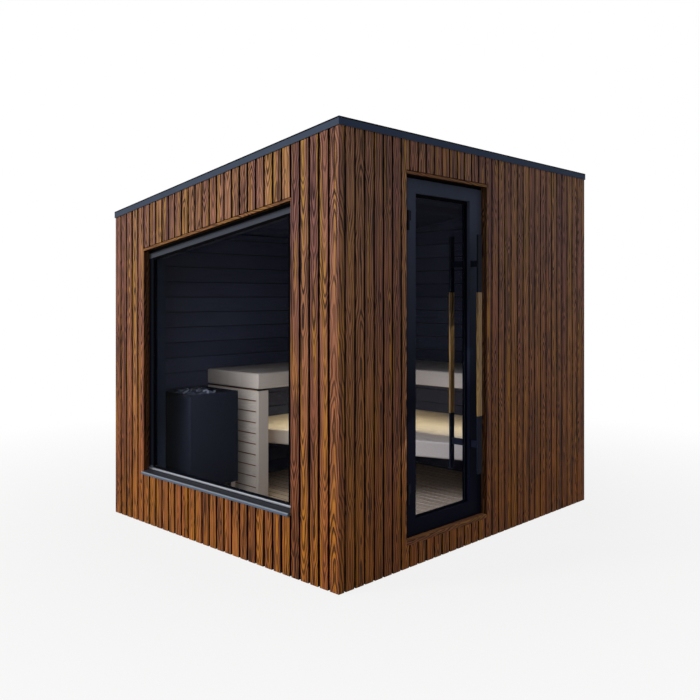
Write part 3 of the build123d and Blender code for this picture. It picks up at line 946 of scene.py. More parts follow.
@dataclass
class BoardStack:
    """Boards with eased edges, joined into one mesh, each with its own grain and tone."""

    seed: int
    arris: float = 0.0015
    mesh: Mesh = field(default_factory=bmesh.new)

    def __post_init__(self) -> None:
        """Give the mesh its attributes and start the dice."""
        self.mesh.verts.layers.float_vector.new("grain")
        self.mesh.verts.layers.float_color.new("tone")
        self.dice = random.Random(self.seed)

    def add(
        self,
        outline: Outline,
        near: float,
        far: float,
        place: Matrix,
        grain: Grain = Grain.UPRIGHT,
        slot: int = 0,
        cuts: Sequence[Cut] = (),
        side_shown: float = 0.0,
    ) -> None:
        """Add one board.

        Args:
            outline: Corners across and up, in metres.
            near: Local depth where the board starts.
            far: Local depth where it ends.
            place: Turns the board into the cabin's frame.
            grain: Which way its grain runs.
            slot: Its material slot.
            cuts: Point and direction of each saw cut, where what lies ahead is taken off.
            side_shown: Share of its colour that its side keeps under the painted side shade, 1 on a corner
                board.
        """
        board = bmesh.new()
        board.faces.new([board.verts.new((across, near, up)) for across, up in outline])
        push(board, far - near)
        for point, direction in cuts:
            whole = board.verts[:] + board.edges[:] + board.faces[:]
            bmesh.ops.bisect_plane(board, geom=whole, plane_co=point, plane_no=direction, clear_outer=True)
            bmesh.ops.holes_fill(board, edges=[edge for edge in board.edges if edge.is_boundary])
        if not board.faces:
            board.free()
            return
        ease(board, board.edges[:], self.arris, segments=1, clamped=True)
        grain_layer = board.verts.layers.float_vector.new("grain")
        tone_layer = board.verts.layers.float_color.new("tone")
        middle = [sum(corner[axis] for corner in outline) / len(outline) for axis in (0, 1)]
        centre = Vector((middle[0], near, middle[1]))
        # The tone's alpha carries the share of colour that the painted side shade leaves
        tone = (self.dice.random(), self.dice.random(), self.dice.random(), side_shown)
        for vert in board.verts:
            local = vert.co - centre
            local.y = abs(local.y)
            vert[grain_layer] = Vector([local[axis] for axis in grain.value])
            vert[tone_layer] = tone
        board.transform(place)
        bmesh.ops.recalc_face_normals(board, faces=board.faces[:])
        for face in board.faces:
            face.material_index = slot
        absorb(self.mesh, board)

    def bar(
        self,
        low: Triple,
        high: Triple,
        place: Matrix,
        grain: Grain = Grain.UPRIGHT,
        slot: int = 0,
    ) -> None:
        """Add a board between two corners, given as across, depth and up."""
        self.add(panel(low[0], high[0], low[2], high[2]), low[1], high[1], place, grain, slot)


@dataclass(frozen=True)
class Piece:
    """A finished mesh with what it rides on, what it stands for and a slot name."""

    name: str
    body: str
    slot: str
    replaces: tuple[str, ...] = ()

    def make(self, shape: Mesh, *finishes: Finish) -> None:
        """Turn a bmesh into the piece.

        Args:
            shape: The mesh, already in place.
            finishes: What its material slots hold.
        """
        mesh = bpy.data.meshes.new(self.name)
        shape.to_mesh(mesh)
        shape.free()
        for finish in finishes:
            mesh.materials.append(finish.material())
        made = add_object(mesh)
        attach(made, self.body)
        if self.replaces:
            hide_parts(*self.replaces)
        log.info("%s: %d faces on %s", self.name, len(mesh.polygons), self.body)


@dataclass(frozen=True)
class CabinSizes:
    """The planes that every sub-assembly is set from, the same as the part's own."""

    half_width: float = 1.080
    half_depth: float = 1.265
    height_high: float = 2.368
    core_x: float = 1.040
    core_y: float = 1.225
    inner_x: float = 0.950
    front_inner: float = -1.135
    back_inner: float = 1.085
    deck_top: float = 0.067
    floor_top: float = 0.088
    covering: float = 0.006
    panel: float = 0.110
    window_half: float = 0.720
    window_bottom: float = 0.324
    sill_under: float = 0.321
    door_front: float = -0.743
    door_rear: float = 0.020
    door_bottom: float = 0.145
    door_top: float = 2.1445
    threshold: float = 0.024
    reveal: float = 0.020
    batten: float = 0.025

    def roof_z(self, x: float) -> float:
        """Give the roof's top plane at x."""
        return self.height_high - (self.half_width - x) * ROOF_RISE

    def window_top(self, x: float) -> float:
        """Give the window opening's sloping head at x."""
        return self.roof_z(x) - WINDOW_DROP

    def rough_top(self, x: float) -> float:
        """Give the sloping head of the window wall's hole, over the reveal's boards, at x."""
        return self.window_top(x) + self.reveal

    def ceiling_z(self, x: float) -> float:
        """Give the underside of the roof panel at x."""
        return self.roof_z(x) - self.covering - self.panel

    def x_at(self, side: Side, across: float, right: float, left: float) -> float:
        """Give the x of a place across a wall, where each side wall has one x."""
        return {Side.WINDOW: across, Side.BACK: -across, Side.DOOR: right, Side.LEFT: left}[side]


@dataclass
class Cladding:
    """Upright battens on all four walls, with a dark cloth behind their gaps."""

    sizes: CabinSizes
    pitch: float = 0.072
    gap: float = 0.014
    side_gap: float = 0.011
    # Share of colour that a batten's side along an opening keeps under the painted side shade
    beside_opening: float = 0.35
    first_side_groove: float = -1.220
    corner_joint: float = 0.0003
    apron_joint: float = 0.001

    def build(self) -> None:
        """Build the battens of the four walls."""
        walls = (
            (Side.WINDOW, "front_battens", "front_cladding"),
            (Side.DOOR, "door_wall_battens", "door_cladding"),
            (Side.LEFT, "left_battens", "left_cladding"),
            (Side.BACK, "back_battens", "back_cladding"),
        )
        for seed, (side, name, node) in enumerate(walls, start=41):
            stack = BoardStack(seed)
            if side in (Side.WINDOW, Side.BACK):
                self.wide_wall(stack, side)
            else:
                self.side_wall(stack, side)
            Piece(name, "cabin", "cladding_wood", (node,)).make(stack.mesh, BATTEN_PINE, WIND_CLOTH)

    def top(self, side: Side) -> Level:
        """Give the sloping line just under the roof's covering across a wall.

        Args:
            side: The wall.

        Returns:
            The line's height at a place across.
        """
        sizes = self.sizes
        return lambda across: (
            sizes.roof_z(sizes.x_at(side, across, sizes.core_x, -sizes.half_width)) - sizes.covering
        )

    def wide_wall(self, stack: BoardStack, side: Side) -> None:
        """Add the battens of the window wall, or of the closed wall opposite.

        Args:
            stack: Takes the battens.
            side: The wall.
        """
        sizes, top = self.sizes, self.top(side)
        half, apron = sizes.window_half, sizes.sill_under - self.apron_joint
        face, back, cloth = -sizes.half_depth, sizes.batten - sizes.half_depth, -sizes.core_y
        opening = side is Side.WINDOW
        last = round(2 * sizes.half_width / self.pitch) - 1
        for number in range(last + 1):
            left = number * self.pitch - sizes.half_width
            start, end = left + self.gap / 2, left + self.pitch - self.gap / 2
            depth, shown = back, 0.0
            if number in (0, last):
                start, end = (-sizes.half_width, end) if number == 0 else (start, sizes.half_width)
                depth, shown = cloth, 1.0
            if not opening or start > half + self.gap or end < -half - self.gap:
                stack.add(panel(start, end, 0.0, top), face, depth, side.turn, side_shown=shown)
            elif start > half:
                stack.add(notched(end, start, half, apron, sizes.window_top, top), face, depth, side.turn)
            elif end < -half:
                outline = notched(start, end, -half, apron, sizes.window_top, top)
                stack.add(outline, face, depth, side.turn, side_shown=self.beside_opening)
            else:
                stack.bar((start, face, 0.0), (end, back, apron), side.turn)
                stack.add(panel(start, end, sizes.rough_top, top), face, back, side.turn)
        self.cloth(stack, side, (back, cloth), sizes.core_x, (-half, half) if opening else None)

    def cloth(
        self,
        stack: BoardStack,
        side: Side,
        depths: Pair,
        reach: float,
        opening: Pair | None,
    ) -> None:
        """Add the cloth behind a wall's battens, round its opening if it has one.

        Args:
            stack: Takes the cloth.
            side: The wall.
            depths: Local depths of its face and back.
            reach: How far it goes to both sides.
            opening: The opening's first and second edge, or None.
        """
        sizes, top = self.sizes, self.top(side)
        if opening is None:
            stack.add(panel(-reach, reach, 0.0, top), *depths, side.turn, slot=1)
            return
        front, rear = opening[0] - sizes.reveal, opening[1] + sizes.reveal
        low, head = sizes.door_bottom - sizes.threshold, sizes.door_top + sizes.reveal
        if side is Side.WINDOW:
            low, head = sizes.window_bottom - sizes.reveal, sizes.rough_top
        for start, end in ((-reach, front), (rear, reach)):
            stack.add(panel(start, end, 0.0, top), *depths, side.turn, slot=1)
        stack.add(panel(front, rear, 0.0, low), *depths, side.turn, slot=1)
        stack.add(panel(front, rear, head, top), *depths, side.turn, slot=1)

    def side_wall(self, stack: BoardStack, side: Side) -> None:
        """Add the battens of the door wall, or of the closed wall opposite.

        Args:
            stack: Takes the battens.
            side: The wall.
        """
        sizes, top = self.sizes, self.top(side)
        front, rear = sizes.door_front, sizes.door_rear
        face, back, cloth = -sizes.half_width, sizes.batten - sizes.half_width, -sizes.core_x
        limit = sizes.core_y - self.corner_joint
        low, high = sizes.door_bottom - sizes.threshold, sizes.door_top + sizes.reveal
        groove = self.first_side_groove
        while groove + self.side_gap / 2 < limit:
            start = groove + self.side_gap / 2
            end = min(groove + self.pitch - self.side_gap / 2, limit)
            groove += self.pitch
            if side is Side.LEFT or end <= front or start >= rear:
                stack.add(panel(start, end, 0.0, top), face, back, side.turn)
            elif start >= front and end <= rear:
                stack.bar((start, face, 0.0), (end, back, low), side.turn)
                stack.add(panel(start, end, high, top), face, back, side.turn)
            else:
                outer, inner, edge = (start, end, front) if start < front else (end, start, rear)
                shown = self.beside_opening if end > rear else 0.0
                outline = notched(outer, inner, edge, low, high, top)
                stack.add(outline, face, back, side.turn, side_shown=shown)
        self.cloth(stack, side, (back, cloth), limit, (front, rear) if side is Side.DOOR else None)


@dataclass
class Reveals:
    """Boards that line the window's and the door's openings through the wall."""

    sizes: CabinSizes
    joint: float = 0.0003
    trim: float = 0.017
    trim_overlap: float = 0.006
    # Share of colour that the jambs' sides keep under the painted shade; the heads' undersides keep none and
    # the threshold all
    jamb_shown: float = 0.45

    def build(self) -> None:
        """Build both sets of reveal boards."""
        self.window()
        self.door()

    def window(self) -> None:
        """Build the window's boards: the head shows its edge, and battens cover the others'."""
        sizes = self.sizes
        face, back, inside = -sizes.half_depth, sizes.batten - sizes.half_depth, sizes.front_inner
        half, board = sizes.window_half, sizes.reveal
        low = sizes.window_bottom - board
        stack = BoardStack(seed=71)
        turn = Side.WINDOW.turn
        for start, end in ((-half - board, -half), (half, half + board)):
            outline = panel(start, end, low, sizes.rough_top)
            stack.add(outline, back, inside, turn, side_shown=self.jamb_shown)
        reach = half - self.joint
        stack.bar((-reach, back, low), (reach, inside, sizes.window_bottom), turn, Grain.LEVEL)
        for edge, near, far in ((half, back, inside), (half + self.trim_overlap, face, back)):
            limit = edge - self.joint
            outline = panel(-limit, limit, sizes.window_top, lambda x: sizes.window_top(x) + self.trim)
            stack.add(outline, near, far, turn, Grain.LEVEL)
        self.finish("window_reveal", stack)

    def door(self) -> None:
        """Build the door's boards: head and threshold show their edges, and battens cover the others'."""
        sizes = self.sizes
        face, back, inside = -sizes.half_width, sizes.batten - sizes.half_width, -sizes.inner_x
        front, rear, board = sizes.door_front, sizes.door_rear, sizes.reveal
        low, high = sizes.door_bottom - sizes.threshold, sizes.door_top + board
        stack = BoardStack(seed=83)
        turn = Side.DOOR.turn
        for start in (front - board, rear):
            outline = panel(start, start + board, low, high)
            stack.add(outline, back, inside, turn, side_shown=self.jamb_shown)
        top = sizes.door_top
        for foot, head, shown in ((low, sizes.door_bottom, 1.0), (top, top + self.trim, 0.0)):
            outline = panel(front + self.joint, rear - self.joint, foot, head)
            stack.add(outline, face, inside, turn, Grain.LEVEL, side_shown=shown)
        self.finish("door_reveal", stack)

    def finish(self, node: str, stack: BoardStack) -> None:
        """Make the boards the piece that stands for a CAD node."""
        Piece(f"{node}_boards", "cabin", "cladding_wood", (node,)).make(stack.mesh, REVEAL_PINE)


@dataclass(frozen=True)
class RoomWall:
    """One of the room's walls: its planes and ends in its own turn, and its rough opening if it has one."""

    side: Side
    name: str
    nodes: tuple[str, ...]
    outer: float
    inner: float
    ends: Pair
    opening: Pair | None = None
    foot: float = 0.0
    head: Level = 0.0


@dataclass
class Lining:
    """Horizontal boards inside the room on the four walls, and boards under the roof panel."""

    sizes: CabinSizes
    pitch: float = 0.108
    gap: float = 0.0045
    board: float = 0.015
    arris: float = 0.002
    lowest_joint: float = 0.070
    thinnest: float = 0.004

    def build(self) -> None:
        """Build the walls' cores with their boards, and the ceiling."""
        sizes = self.sizes
        half, board = sizes.window_half + sizes.reveal, sizes.reveal
        wide, deep = (-sizes.core_x, sizes.core_x), (sizes.front_inner, sizes.back_inner)
        turned = (-sizes.back_inner, -sizes.front_inner)
        window_nodes = tuple(f"front_wall_{part}" for part in ("left", "right", "apron", "header"))
        door_nodes = tuple(f"door_wall_{part}" for part in ("front", "rear", "threshold", "header"))
        for row in (
            (
                Side.WINDOW,
                "front_wall_lining",
                window_nodes,
                -sizes.core_y,
                sizes.front_inner,
                wide,
                (-half, half),
                sizes.window_bottom - board,
                sizes.rough_top,
            ),
            (
                Side.DOOR,
                "door_wall_lining",
                door_nodes,
                -sizes.core_x,
                -sizes.inner_x,
                deep,
                (sizes.door_front - board, sizes.door_rear + board),
                sizes.door_bottom - sizes.threshold,
                sizes.door_top + board,
            ),
            (Side.LEFT, "left_wall_lining", ("left_wall",), -sizes.core_x, -sizes.inner_x, turned),
            (Side.BACK, "back_wall_lining", ("back_wall",), -sizes.core_y, -sizes.back_inner, wide),
        ):
            self.wall(RoomWall(*row))
        self.ceiling()

    def top(self, side: Side) -> Callable[[float], float]:
        """Give the ceiling's sloping line across a wall, as its height at a place across."""
        sizes = self.sizes
        return lambda across: sizes.ceiling_z(sizes.x_at(side, across, sizes.inner_x, -sizes.core_x))

    def wall(self, wall: RoomWall) -> None:
        """Build one wall's core and its boards.

        Args:
            wall: The wall.
        """
        deck, turn, top = self.sizes.deck_top, wall.side.turn, self.top(wall.side)
        depths = (wall.outer, wall.inner - self.board)
        stack = BoardStack(seed=101 + round(wall.side.value), arris=self.arris)
        spans = [wall.ends]
        if wall.opening:
            left, right = wall.opening
            spans = [(wall.ends[0], left), (right, wall.ends[1])]
            stack.add(panel(left, right, deck, wall.foot), *depths, turn, slot=1)
            stack.add(panel(left, right, wall.head, top), *depths, turn, slot=1)
            self.rows(stack, wall, wall.opening, (deck, wall.foot))
            heads = [level_at(wall.head, edge) for edge in wall.opening]
            cut = (Vector((left, 0, heads[0])), Vector((heads[1] - heads[0], 0, left - right)))
            self.rows(stack, wall, wall.opening, (min(heads), self.sizes.height_high), (cut,))
        for span in spans:
            stack.add(panel(*span, deck, top), *depths, turn, slot=1)
            self.rows(stack, wall, span, (deck, self.sizes.height_high))
        Piece(wall.name, "cabin", "wall_lining", wall.nodes).make(stack.mesh, LINING_SPRUCE, WIND_CLOTH)

    def rows(
        self,
        stack: BoardStack,
        wall: RoomWall,
        span: Pair,
        reach: Pair,
        cuts: Sequence[Cut] = (),
    ) -> None:
        """Add rows of boards over a span, cut off at the ceiling.

        Args:
            stack: Takes the boards.
            wall: The wall.
            span: First and second edge across.
            reach: Lowest and highest place that the rows may fill.
            cuts: More saw cuts, such as an opening's sloping head.
        """
        heights = [self.top(wall.side)(edge) for edge in span]
        over = (Vector((span[0], 0, heights[0])), Vector((heights[0] - heights[1], 0, span[1] - span[0])))
        for number in itertools.count(math.floor((reach[0] - self.lowest_joint) / self.pitch)):
            foot = self.lowest_joint + number * self.pitch
            low, high = max(foot + self.gap / 2, reach[0]), min(foot + self.pitch - self.gap / 2, reach[1])
            if low >= min(reach[1], max(heights)):
                return
            if high - low >= self.thinnest:
                outline, skin_depth = panel(*span, low, high), wall.inner - self.board
                stack.add(outline, skin_depth, wall.inner, wall.side.turn, Grain.LEVEL, cuts=(over, *cuts))

    def ceiling(self) -> None:
        """Build the roof panel with its boards underneath, which run from front to back."""
        sizes, turn = self.sizes, Side.WINDOW.turn
        edge, deep = sizes.core_x, sizes.core_y
        stack = BoardStack(seed=131, arris=self.arris)
        behind = partial(self.over_ceiling, self.board)
        core = panel(-edge, edge, behind, partial(self.over_ceiling, sizes.panel))
        stack.add(core, -deep, deep, turn, slot=1)
        count = round(2 * edge / self.pitch)
        pitch = 2 * edge / count
        for number in range(count):
            left = number * pitch - edge
            outline = panel(left + self.gap / 2, left + pitch - self.gap / 2, sizes.ceiling_z, behind)
            stack.add(outline, -deep, deep, turn, Grain.DEEP)
        piece = Piece("ceiling_boards", "cabin", "wall_lining", ("roof_panel",))
        piece.make(stack.mesh, LINING_SPRUCE, WIND_CLOTH)

    def over_ceiling(self, rise: float, x: float) -> float:
        """Give the plane that lies so far over the ceiling at x."""
        return self.sizes.ceiling_z(x) + rise


@dataclass
class DuckboardFloor:
    """Slats laid on the deck from wall to wall, parallel to the window."""

    sizes: CabinSizes
    pitch: float = 0.070
    slat: float = 0.060
    groove_at: float = 0.311
    clearance: float = 0.005
    narrowest: float = 0.008

    def build(self) -> None:
        """Build the slats."""
        sizes = self.sizes
        stack = BoardStack(seed=151, arris=0.002)
        front, back = sizes.front_inner + self.clearance, sizes.back_inner - self.clearance
        side = sizes.inner_x - self.clearance
        first = math.floor((front - self.groove_at) / self.pitch)
        for number in range(first, math.ceil((back - self.groove_at) / self.pitch)):
            middle = self.groove_at + (number + 0.5) * self.pitch
            start, end = max(middle - self.slat / 2, front), min(middle + self.slat / 2, back)
            if end - start > self.narrowest:
                outline = panel(-side, side, start, end)
                stack.add(outline, sizes.floor_top, sizes.deck_top, LAID_FLAT, Grain.LEVEL)
        Piece("duckboard_slats", "cabin", "bench_wood", ("floor_grate",)).make(stack.mesh, FLOOR_ASPEN)


@dataclass
class BenchEnd:
    """Panel under the free end of the upper bench: level boards with thin slots, on a toned backing."""

    left: float = -0.9497
    right: float = -0.396
    low: float = 0.088
    high: float = 0.828
    front: float = -0.590
    thickness: float = 0.028
    board: float = 0.008
    stile: float = 0.030
    slots: tuple[float, ...] = (0.162, 0.237, 0.3125, 0.387, 0.461, 0.5325, 0.608, 0.684, 0.758)
    slot: float = 0.009

    def build(self) -> None:
        """Build the panel's boards, its stile at the wall and the backing."""
        stack = BoardStack(seed=171, arris=0.001)
        turn = Side.WINDOW.turn
        back, edge = self.front + self.board, self.left + self.stile
        stack.bar((self.left, self.front, self.low), (edge, back, self.high), turn)
        behind = (self.right, self.front + self.thickness, self.high)
        stack.bar((self.left, back, self.low), behind, turn, Grain.LEVEL, slot=1)
        feet = [self.low, *(level + self.slot / 2 for level in self.slots)]
        heads = [*(level - self.slot / 2 for level in self.slots), self.high]
        for foot, head in zip(feet, heads):
            stack.bar((edge, self.front, foot), (self.right, back, head), turn, Grain.LEVEL)
        piece = Piece("bench_end_boards", "cabin", "bench_wood", ("bench_end_panel",))
        piece.make(stack.mesh, SLAT_ASPEN, HEATED_ASPEN)


@dataclass
class StoneLoad:
    """Broken stones that fill the heater's well and stand a little above its rim."""

    count: int = 42
    points: int = 9
    small: float = 0.032
    large: float = 0.048
    margin: float = 0.018
    rise: float = 0.026
    half_well: float = 0.17
    sunk: float = 0.75
    uneven: float = 0.012
    core_drop: float = 0.06

    def build(self) -> None:
        """Build the stones in the place of the CAD's load."""
        inset = Vector((self.margin, self.margin, 0.0))
        low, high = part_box("heater_stones")
        low, high = low + inset, high - inset
        middle = [(near + far) / 2 for near, far in zip(low, high)]
        dice = random.Random(191)
        stones = bmesh.new()
        columns = math.ceil(math.sqrt(self.count))
        rim = high.z - self.rise
        for number in range(self.count):
            size = dice.uniform(self.small, self.large)
            place = Vector()
            for axis, cell in enumerate((number % columns, number // columns)):
                run = high[axis] - low[axis] - 2 * size
                place[axis] = low[axis] + size + run * (cell + dice.uniform(0.2, 0.8)) / columns
            offset = max(abs(place.x - middle[0]), abs(place.y - middle[1]))
            lift = self.rise * (1.0 - (offset / self.half_well) ** 2)
            place.z = rim + lift - size * self.sunk - dice.uniform(0.0, self.uneven)
            self.stone(stones, dice, place, size, high.z)
        span = Vector((high.x - low.x, high.y - low.y, rim - low.z - self.core_drop))
        centre = Vector((*middle[:2], (low.z + rim - self.core_drop) / 2))
        matrix = Matrix.Translation(centre) @ Matrix.Diagonal((*span, 1.0))
        core = bmesh.ops.create_cube(stones, size=1.0, matrix=matrix)
        ease(stones, list({edge for vert in core["verts"] for edge in vert.link_edges}), 0.01)
        Piece("stone_load", "cabin", "stone", ("heater_stones",)).make(stones, OLIVINE)

    def stone(self, stones: Mesh, dice: random.Random, place: Vector, size: float, top: float) -> None:
        """Add one broken stone as the hull of scattered points.

        Args:
            stones: Takes the stone.
            dice: Source of chance.
            place: The stone's middle.
            size: Its half width.
            top: Highest level that it may reach.
        """
        squeeze = Vector((1.0, dice.uniform(0.7, 1.0), dice.uniform(0.55, 0.8)))
        spin = Matrix.Rotation(dice.uniform(0, math.tau), 3, "Z")
        turn = spin @ Matrix.Rotation(dice.uniform(-0.5, 0.5), 3, "X")
        verts = []
        for _ in range(self.points):
            way = Vector([dice.gauss(0, 1) for _ in range(3)]).normalized()
            point = place + turn @ Vector([size * way[axis] * squeeze[axis] for axis in range(3)])
            point.z = min(point.z, top)
            verts.append(stones.verts.new(point))
        hull = bmesh.ops.convex_hull(stones, input=verts)
        loose = [part for part in hull["geom_interior"] if isinstance(part, bmesh.types.BMVert)]
        bmesh.ops.delete(stones, geom=loose, context="VERTS")


@dataclass
class Glazing:
    """Rubber gaskets round the panes, and the bright bead along the window's foot."""

    sizes: CabinSizes
    bead_low: float = 0.3462
    bead_high: float = 0.3592
    bead_depth: float = 0.007
    recess: float = 0.042
    frame_width: float = 0.050
    frame_foot: float = 0.039
    bite: float = 0.009
    proud: float = 0.002
    sunk: float = 0.0014
    door_thickness: float = 0.004
    joint: float = 0.0001
    bead_joint: float = 0.001
    easing: float = 0.0012
    corner_angle: float = 0.5
    window_widths: Triple = (0.010, 0.005, 0.017)
    # The door's ring is widest at the head, where its black stands in for the dark reflection of the top
    # rail's underside: painted reflection
    door_widths: Triple = (0.005, 0.004, 0.014)

    def build(self) -> None:
        """Build the gaskets and the bead."""
        self.window()
        self.door()

    def ring(
        self, corners: Outline, depth: float, back: float, turn: Matrix, widths: Triple
    ) -> Mesh:
        """Make a flat ring with eased edges inside a four-cornered outline.

        Args:
            corners: The ring's outer corners across and up: left and right foot, right and left head.
            depth: Local depth of its face.
            back: Local depth of its back.
            turn: Turns it into the cabin's frame.
            widths: Width of the ring at its sides, foot and head.

        Returns:
            The ring's mesh.
        """
        side, foot, head = widths
        moves = ((side, foot), (-side, foot), (-side, -head), (side, -head))
        inner = [(across + move[0], up + move[1]) for (across, up), move in zip(corners, moves)]
        made = bmesh.new()
        edges = []
        for outline in (corners, inner):
            loop = [made.verts.new((across, depth, up)) for across, up in outline]
            edges += [made.edges.new(pair) for pair in zip(loop, loop[1:] + loop[:1])]
        bmesh.ops.bridge_loops(made, edges=edges)
        push(made, back - depth)
        made.transform(turn)
        bmesh.ops.recalc_face_normals(made, faces=made.faces[:])
        corner_edges = [edge for edge in made.edges if edge.calc_face_angle(0.0) > self.corner_angle]
        ease(made, corner_edges, self.easing)
        return made

    def window(self) -> None:
        """Build the window's gasket on the outer pane and the bead under it."""
        sizes, turn = self.sizes, Side.WINDOW.turn
        half, low = sizes.window_half - self.frame_width, sizes.window_bottom + self.frame_foot
        corners = panel(-half, half, low, lambda across: sizes.window_top(across) - self.frame_width)
        face = -sizes.half_depth + self.recess
        ring = self.ring(corners, face - self.proud, face + self.sunk, turn, self.window_widths)
        Piece("window_gasket", "cabin", "dark_metal").make(ring, GASKET_RUBBER)
        bead = BoardStack(seed=211, arris=0.0028)
        reach = sizes.window_half - self.bead_joint
        bead.bar((-reach, face - self.bead_depth, self.bead_low), (reach, face, self.bead_high), turn)
        Piece("window_bead", "cabin", "spacer_metal").make(bead.mesh, BARE_ALUMINIUM)

    def door(self) -> None:
        """Build the door's gaskets, one on each face of the glazing."""
        low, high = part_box("door_glass")
        bite, thick, joint = self.bite, self.door_thickness, self.joint
        corners = panel(low.y + bite, high.y - bite, low.z + bite, high.z - bite)
        made = bmesh.new()
        for start, end in ((-high.x - thick, -high.x - joint), (-low.x + joint, -low.x + thick)):
            absorb(made, self.ring(corners, start, end, Side.DOOR.turn, self.door_widths))
        Piece("door_gaskets", "door", "dark_metal").make(made, GASKET_RUBBER)


@dataclass(frozen=True)
class CadDress:
    """Gives each CAD node that shows its node material."""

    plan: tuple[tuple[Finish, tuple[str, ...]], ...] = (
        (FOLDED_ALUMINIUM, ("roof_flashing",)),
        (SILL_ALUMINIUM, ("window_sill",)),
        (WINDOW_ALUMINIUM, ("window_frame",)),
        (FRAME_ALUMINIUM, ("door_frame", "door_leaf")),
        (BLACK_STEEL, ("hinge_fixed", "hinge_moving", "handle_bars")),
        (WARM_EDGE, ("window_spacer", "door_spacer")),
        (PANE, ("window_glass", "door_glass")),
        (GRIP_OAK, ("handle_grips",)),
        (ROOF_FELT, ("roof_membrane",)),
        (DECK_PLYWOOD, ("floor_deck",)),
        (BEARER_PINE, ("base_bearers",)),
        (HEATER_ENAMEL, ("heater_body",)),
        (PLATED_STEEL, ("heater_feet",)),
        (WARM_STRIP, ("bench_lights",)),
        (aspen_boards("aspen_bench_along_y", GrainFrom.Y), ("upper_bench_left",)),
        (
            aspen_boards("aspen_bench_along_x", GrainFrom.X),
            ("upper_bench_back", "lower_bench", "bench_ledgers"),
        ),
        # The post's top is painted near black as the shadow line under the bench's fascia
        (aspen_boards("aspen_post", GrainFrom.Z, painted_shadow_above=0.828), ("bench_post",)),
    )

    def apply(self) -> None:
        """Put the materials in the nodes' slots."""
        for finish, names in self.plan:
            for name in names:
                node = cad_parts[name]
                if not node.material_slots:
                    node.data.materials.append(finish.material())
                for slot in node.material_slots:
                    slot.material = finish.material()
                log.info("%s: %s", name, finish.name)


def hang(data: bpy.types.Light, place: Triple, aim: Triple) -> bpy.types.Object:
    """Put a lamp in its place, hidden from the rays that would show it.

    Args:
        data: The lamp's data.
        place: Its middle.
        aim: Point that it faces.

    Returns:
        The lamp.
    """
    lamp = add_object(data)
    lamp.location = place
    lamp.rotation_euler = (Vector(aim) - Vector(place)).to_track_quat("-Z", "Y").to_euler()
    lamp.visible_camera = lamp.visible_transmission = lamp.visible_glossy = False
    return lamp


@dataclass(frozen=True)
class AreaLamp:
    """A soft rectangular lamp that no ray sees directly, with its power in watts."""

    name: str
    place: Triple
    aim: Triple
    size: Pair
    power: float

    def build(self) -> bpy.types.Object:
        """Build the lamp.

        Returns:
            The lamp.
        """
        data = bpy.data.lights.new(self.name, "AREA")
        data.shape = "RECTANGLE"
        data.size, data.size_y = self.size
        data.energy = self.power
        return hang(data, self.place, self.aim)


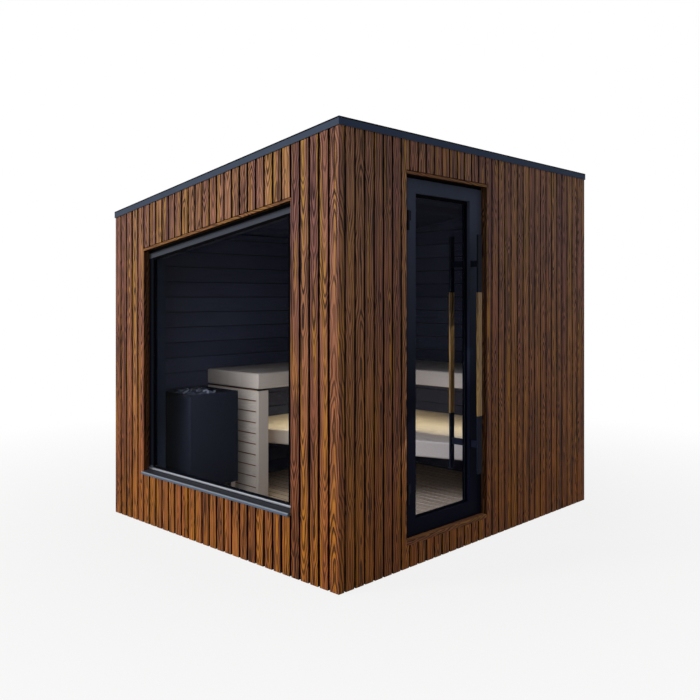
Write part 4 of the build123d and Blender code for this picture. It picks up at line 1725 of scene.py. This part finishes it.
@dataclass
class Studio:
    """White studio: pale floor, a far soft lamp on the window wall, a fill that comes mostly from above,
    two small soft lamps in the room, and the beams of the two strips under the bench.
    """

    key_from: Triple = (-0.457, -0.791, 0.407)
    key_spread: float = 16.0
    key_power: float = 2.5
    fill_level: float = 0.16
    fill_above: float = 0.59
    room_lamps: tuple[AreaLamp, ...] = (
        AreaLamp("room_fill", (-0.05, -1.04, 0.85), (-0.20, 0.6, 0.40), (0.9, 1.1), 4.5),
        AreaLamp("door_daylight", (0.92, -0.36, 1.1), (-0.1, 0.35, 0.0), (0.6, 1.4), 1.0),
    )
    strip_power: Pair = (1.4, 2.4)
    strip_beam: float = 130.0
    strip_behind: float = -0.426
    strip_width: float = 0.018
    strip_ends: float = 0.04
    least_beam: float = 0.012
    under_strip: float = 0.001
    floor_drop: float = 0.0005
    floor_size: float = 60.0
    floor_white: float = 0.86
    shadow_near: float = 1.6
    shadow_far: float = 5.0
    camera_place: Triple = (3.8025, -4.0022, 1.4701)
    camera_heading: float = 44.028
    lens: float = 40.19
    shift: float = -0.0749

    def build(self) -> None:
        """Build the world, floor, lamps and camera."""
        self.world()
        self.floor()
        self.lamps()
        self.camera()

    def seen(self, tree: Tree) -> Node:
        """Add the nodes that are 1 for camera, glossy and transmission rays.

        Args:
            tree: The node tree of the world or the floor.

        Returns:
            The node that gives the number.
        """
        ray = add_node(tree, "LightPath").outputs
        first = number_node(tree, "MAXIMUM", ray["Is Camera Ray"], ray["Is Glossy Ray"])
        return number_node(tree, "MAXIMUM", first, ray["Is Transmission Ray"])

    def world(self) -> None:
        """Build the white background and the fill light, which is stronger from above."""
        world = bpy.data.worlds.new("studio")
        bpy.context.scene.world = world
        world.use_nodes = True
        tree = world.node_tree
        tree.nodes.clear()
        part = add_node(tree, "SeparateXYZ", {0: add_node(tree, "TexCoord").outputs["Generated"]})
        fill = remap(tree, part.outputs[2], 0.0, 1.0, self.fill_level, self.fill_above)
        strength = add_node(tree, "Mix", {0: self.seen(tree), 2: fill, 3: 1.0}, data_type="FLOAT")
        sky = add_node(tree, "Background", {"Color": grey(1.0), "Strength": strength})
        add_node(tree, "OutputWorld", {"Surface": sky})

    def floor(self) -> None:
        """Build the pale floor, which keeps the cabin's shadow."""
        made = bmesh.new()
        bmesh.ops.create_grid(made, x_segments=1, y_segments=1, size=self.floor_size / 2)
        bmesh.ops.translate(made, verts=made.verts[:], vec=(0, 0, -self.floor_drop))
        mesh = bpy.data.meshes.new("studio_floor")
        made.to_mesh(mesh)
        made.free()
        material = bpy.data.materials.new("pale_floor_paint")
        material.use_nodes = True
        tree = material.node_tree
        tree.nodes.clear()
        paint = add_node(tree, "BsdfDiffuse", {"Color": "#9C9A97"})
        light = add_node(tree, "Emission", {"Color": grey(1.0), "Strength": 1.0})
        away = vector_node(tree, "LENGTH", object_place(tree)).outputs["Value"]
        near = remap(tree, away, self.shadow_near, self.shadow_far, self.floor_white)
        share = number_node(tree, "MULTIPLY", self.seen(tree), near)
        both = add_node(tree, "MixShader", {0: share, 1: paint, 2: light})
        add_node(tree, "OutputMaterial", {"Surface": both})
        mesh.materials.append(material)
        add_object(mesh)

    def lamps(self) -> None:
        """Build the key lamp, the room's two lamps and the beams of the two strips."""
        key = bpy.data.lights.new("soft_key", "SUN")
        key.energy, key.angle = self.key_power, math.radians(self.key_spread)
        hang(key, self.key_from, (0.0, 0.0, 0.0))
        for lamp in self.room_lamps:
            lamp.build()
        low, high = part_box("bench_lights")
        width, right = self.strip_width, self.strip_behind
        left_power, back_power = self.strip_power
        self.beam("left_strip_beam", Vector((right - width, low.y, low.z)), (right, high.y), left_power)
        self.beam("back_strip_beam", Vector((low.x, high.y - width, low.z)), (high.x, high.y), back_power)

    def beam(self, name: str, start: Vector, end: Pair, power: float) -> None:
        """Build the beam that a strip throws straight down.

        Args:
            name: The lamp's name.
            start: Lowest corner of the strip.
            end: The strip's far corner in x and y.
            power: The beam's power in watts.
        """
        x, y = (start.x + end[0]) / 2, (start.y + end[1]) / 2
        spans = (end[0] - start.x, end[1] - start.y)
        size = tuple(max(span - self.strip_ends, self.least_beam) for span in spans)
        beam = AreaLamp(name, (x, y, start.z - self.under_strip), (x, y, 0.0), size, power).build()
        beam.rotation_euler = (0.0, 0.0, 0.0)
        beam.data.color = linear(WARM_STRIP.colour)[:3]
        beam.data.spread = math.radians(self.strip_beam)

    def camera(self) -> None:
        """Build the camera at the photograph's angle, level, with a small downward shift."""
        data = bpy.data.cameras.new("camera")
        data.sensor_width, data.lens, data.shift_y = 36.0, self.lens, self.shift
        camera = add_object(data)
        camera.location = self.camera_place
        camera.rotation_euler = (math.radians(90), 0.0, math.radians(self.camera_heading))
        bpy.context.scene.camera = camera
        bpy.context.scene.view_settings.view_transform = "Standard"


def main() -> None:
    """Build every sub-assembly in order."""
    logging.basicConfig(level=logging.INFO, format="%(name)s: %(message)s")
    sizes = CabinSizes()
    Studio().build()
    Cladding(sizes).build()
    Reveals(sizes).build()
    Lining(sizes).build()
    DuckboardFloor(sizes).build()
    BenchEnd().build()
    StoneLoad().build()
    Glazing(sizes).build()
    CadDress().apply()


if __name__ == "__main__":
    main()
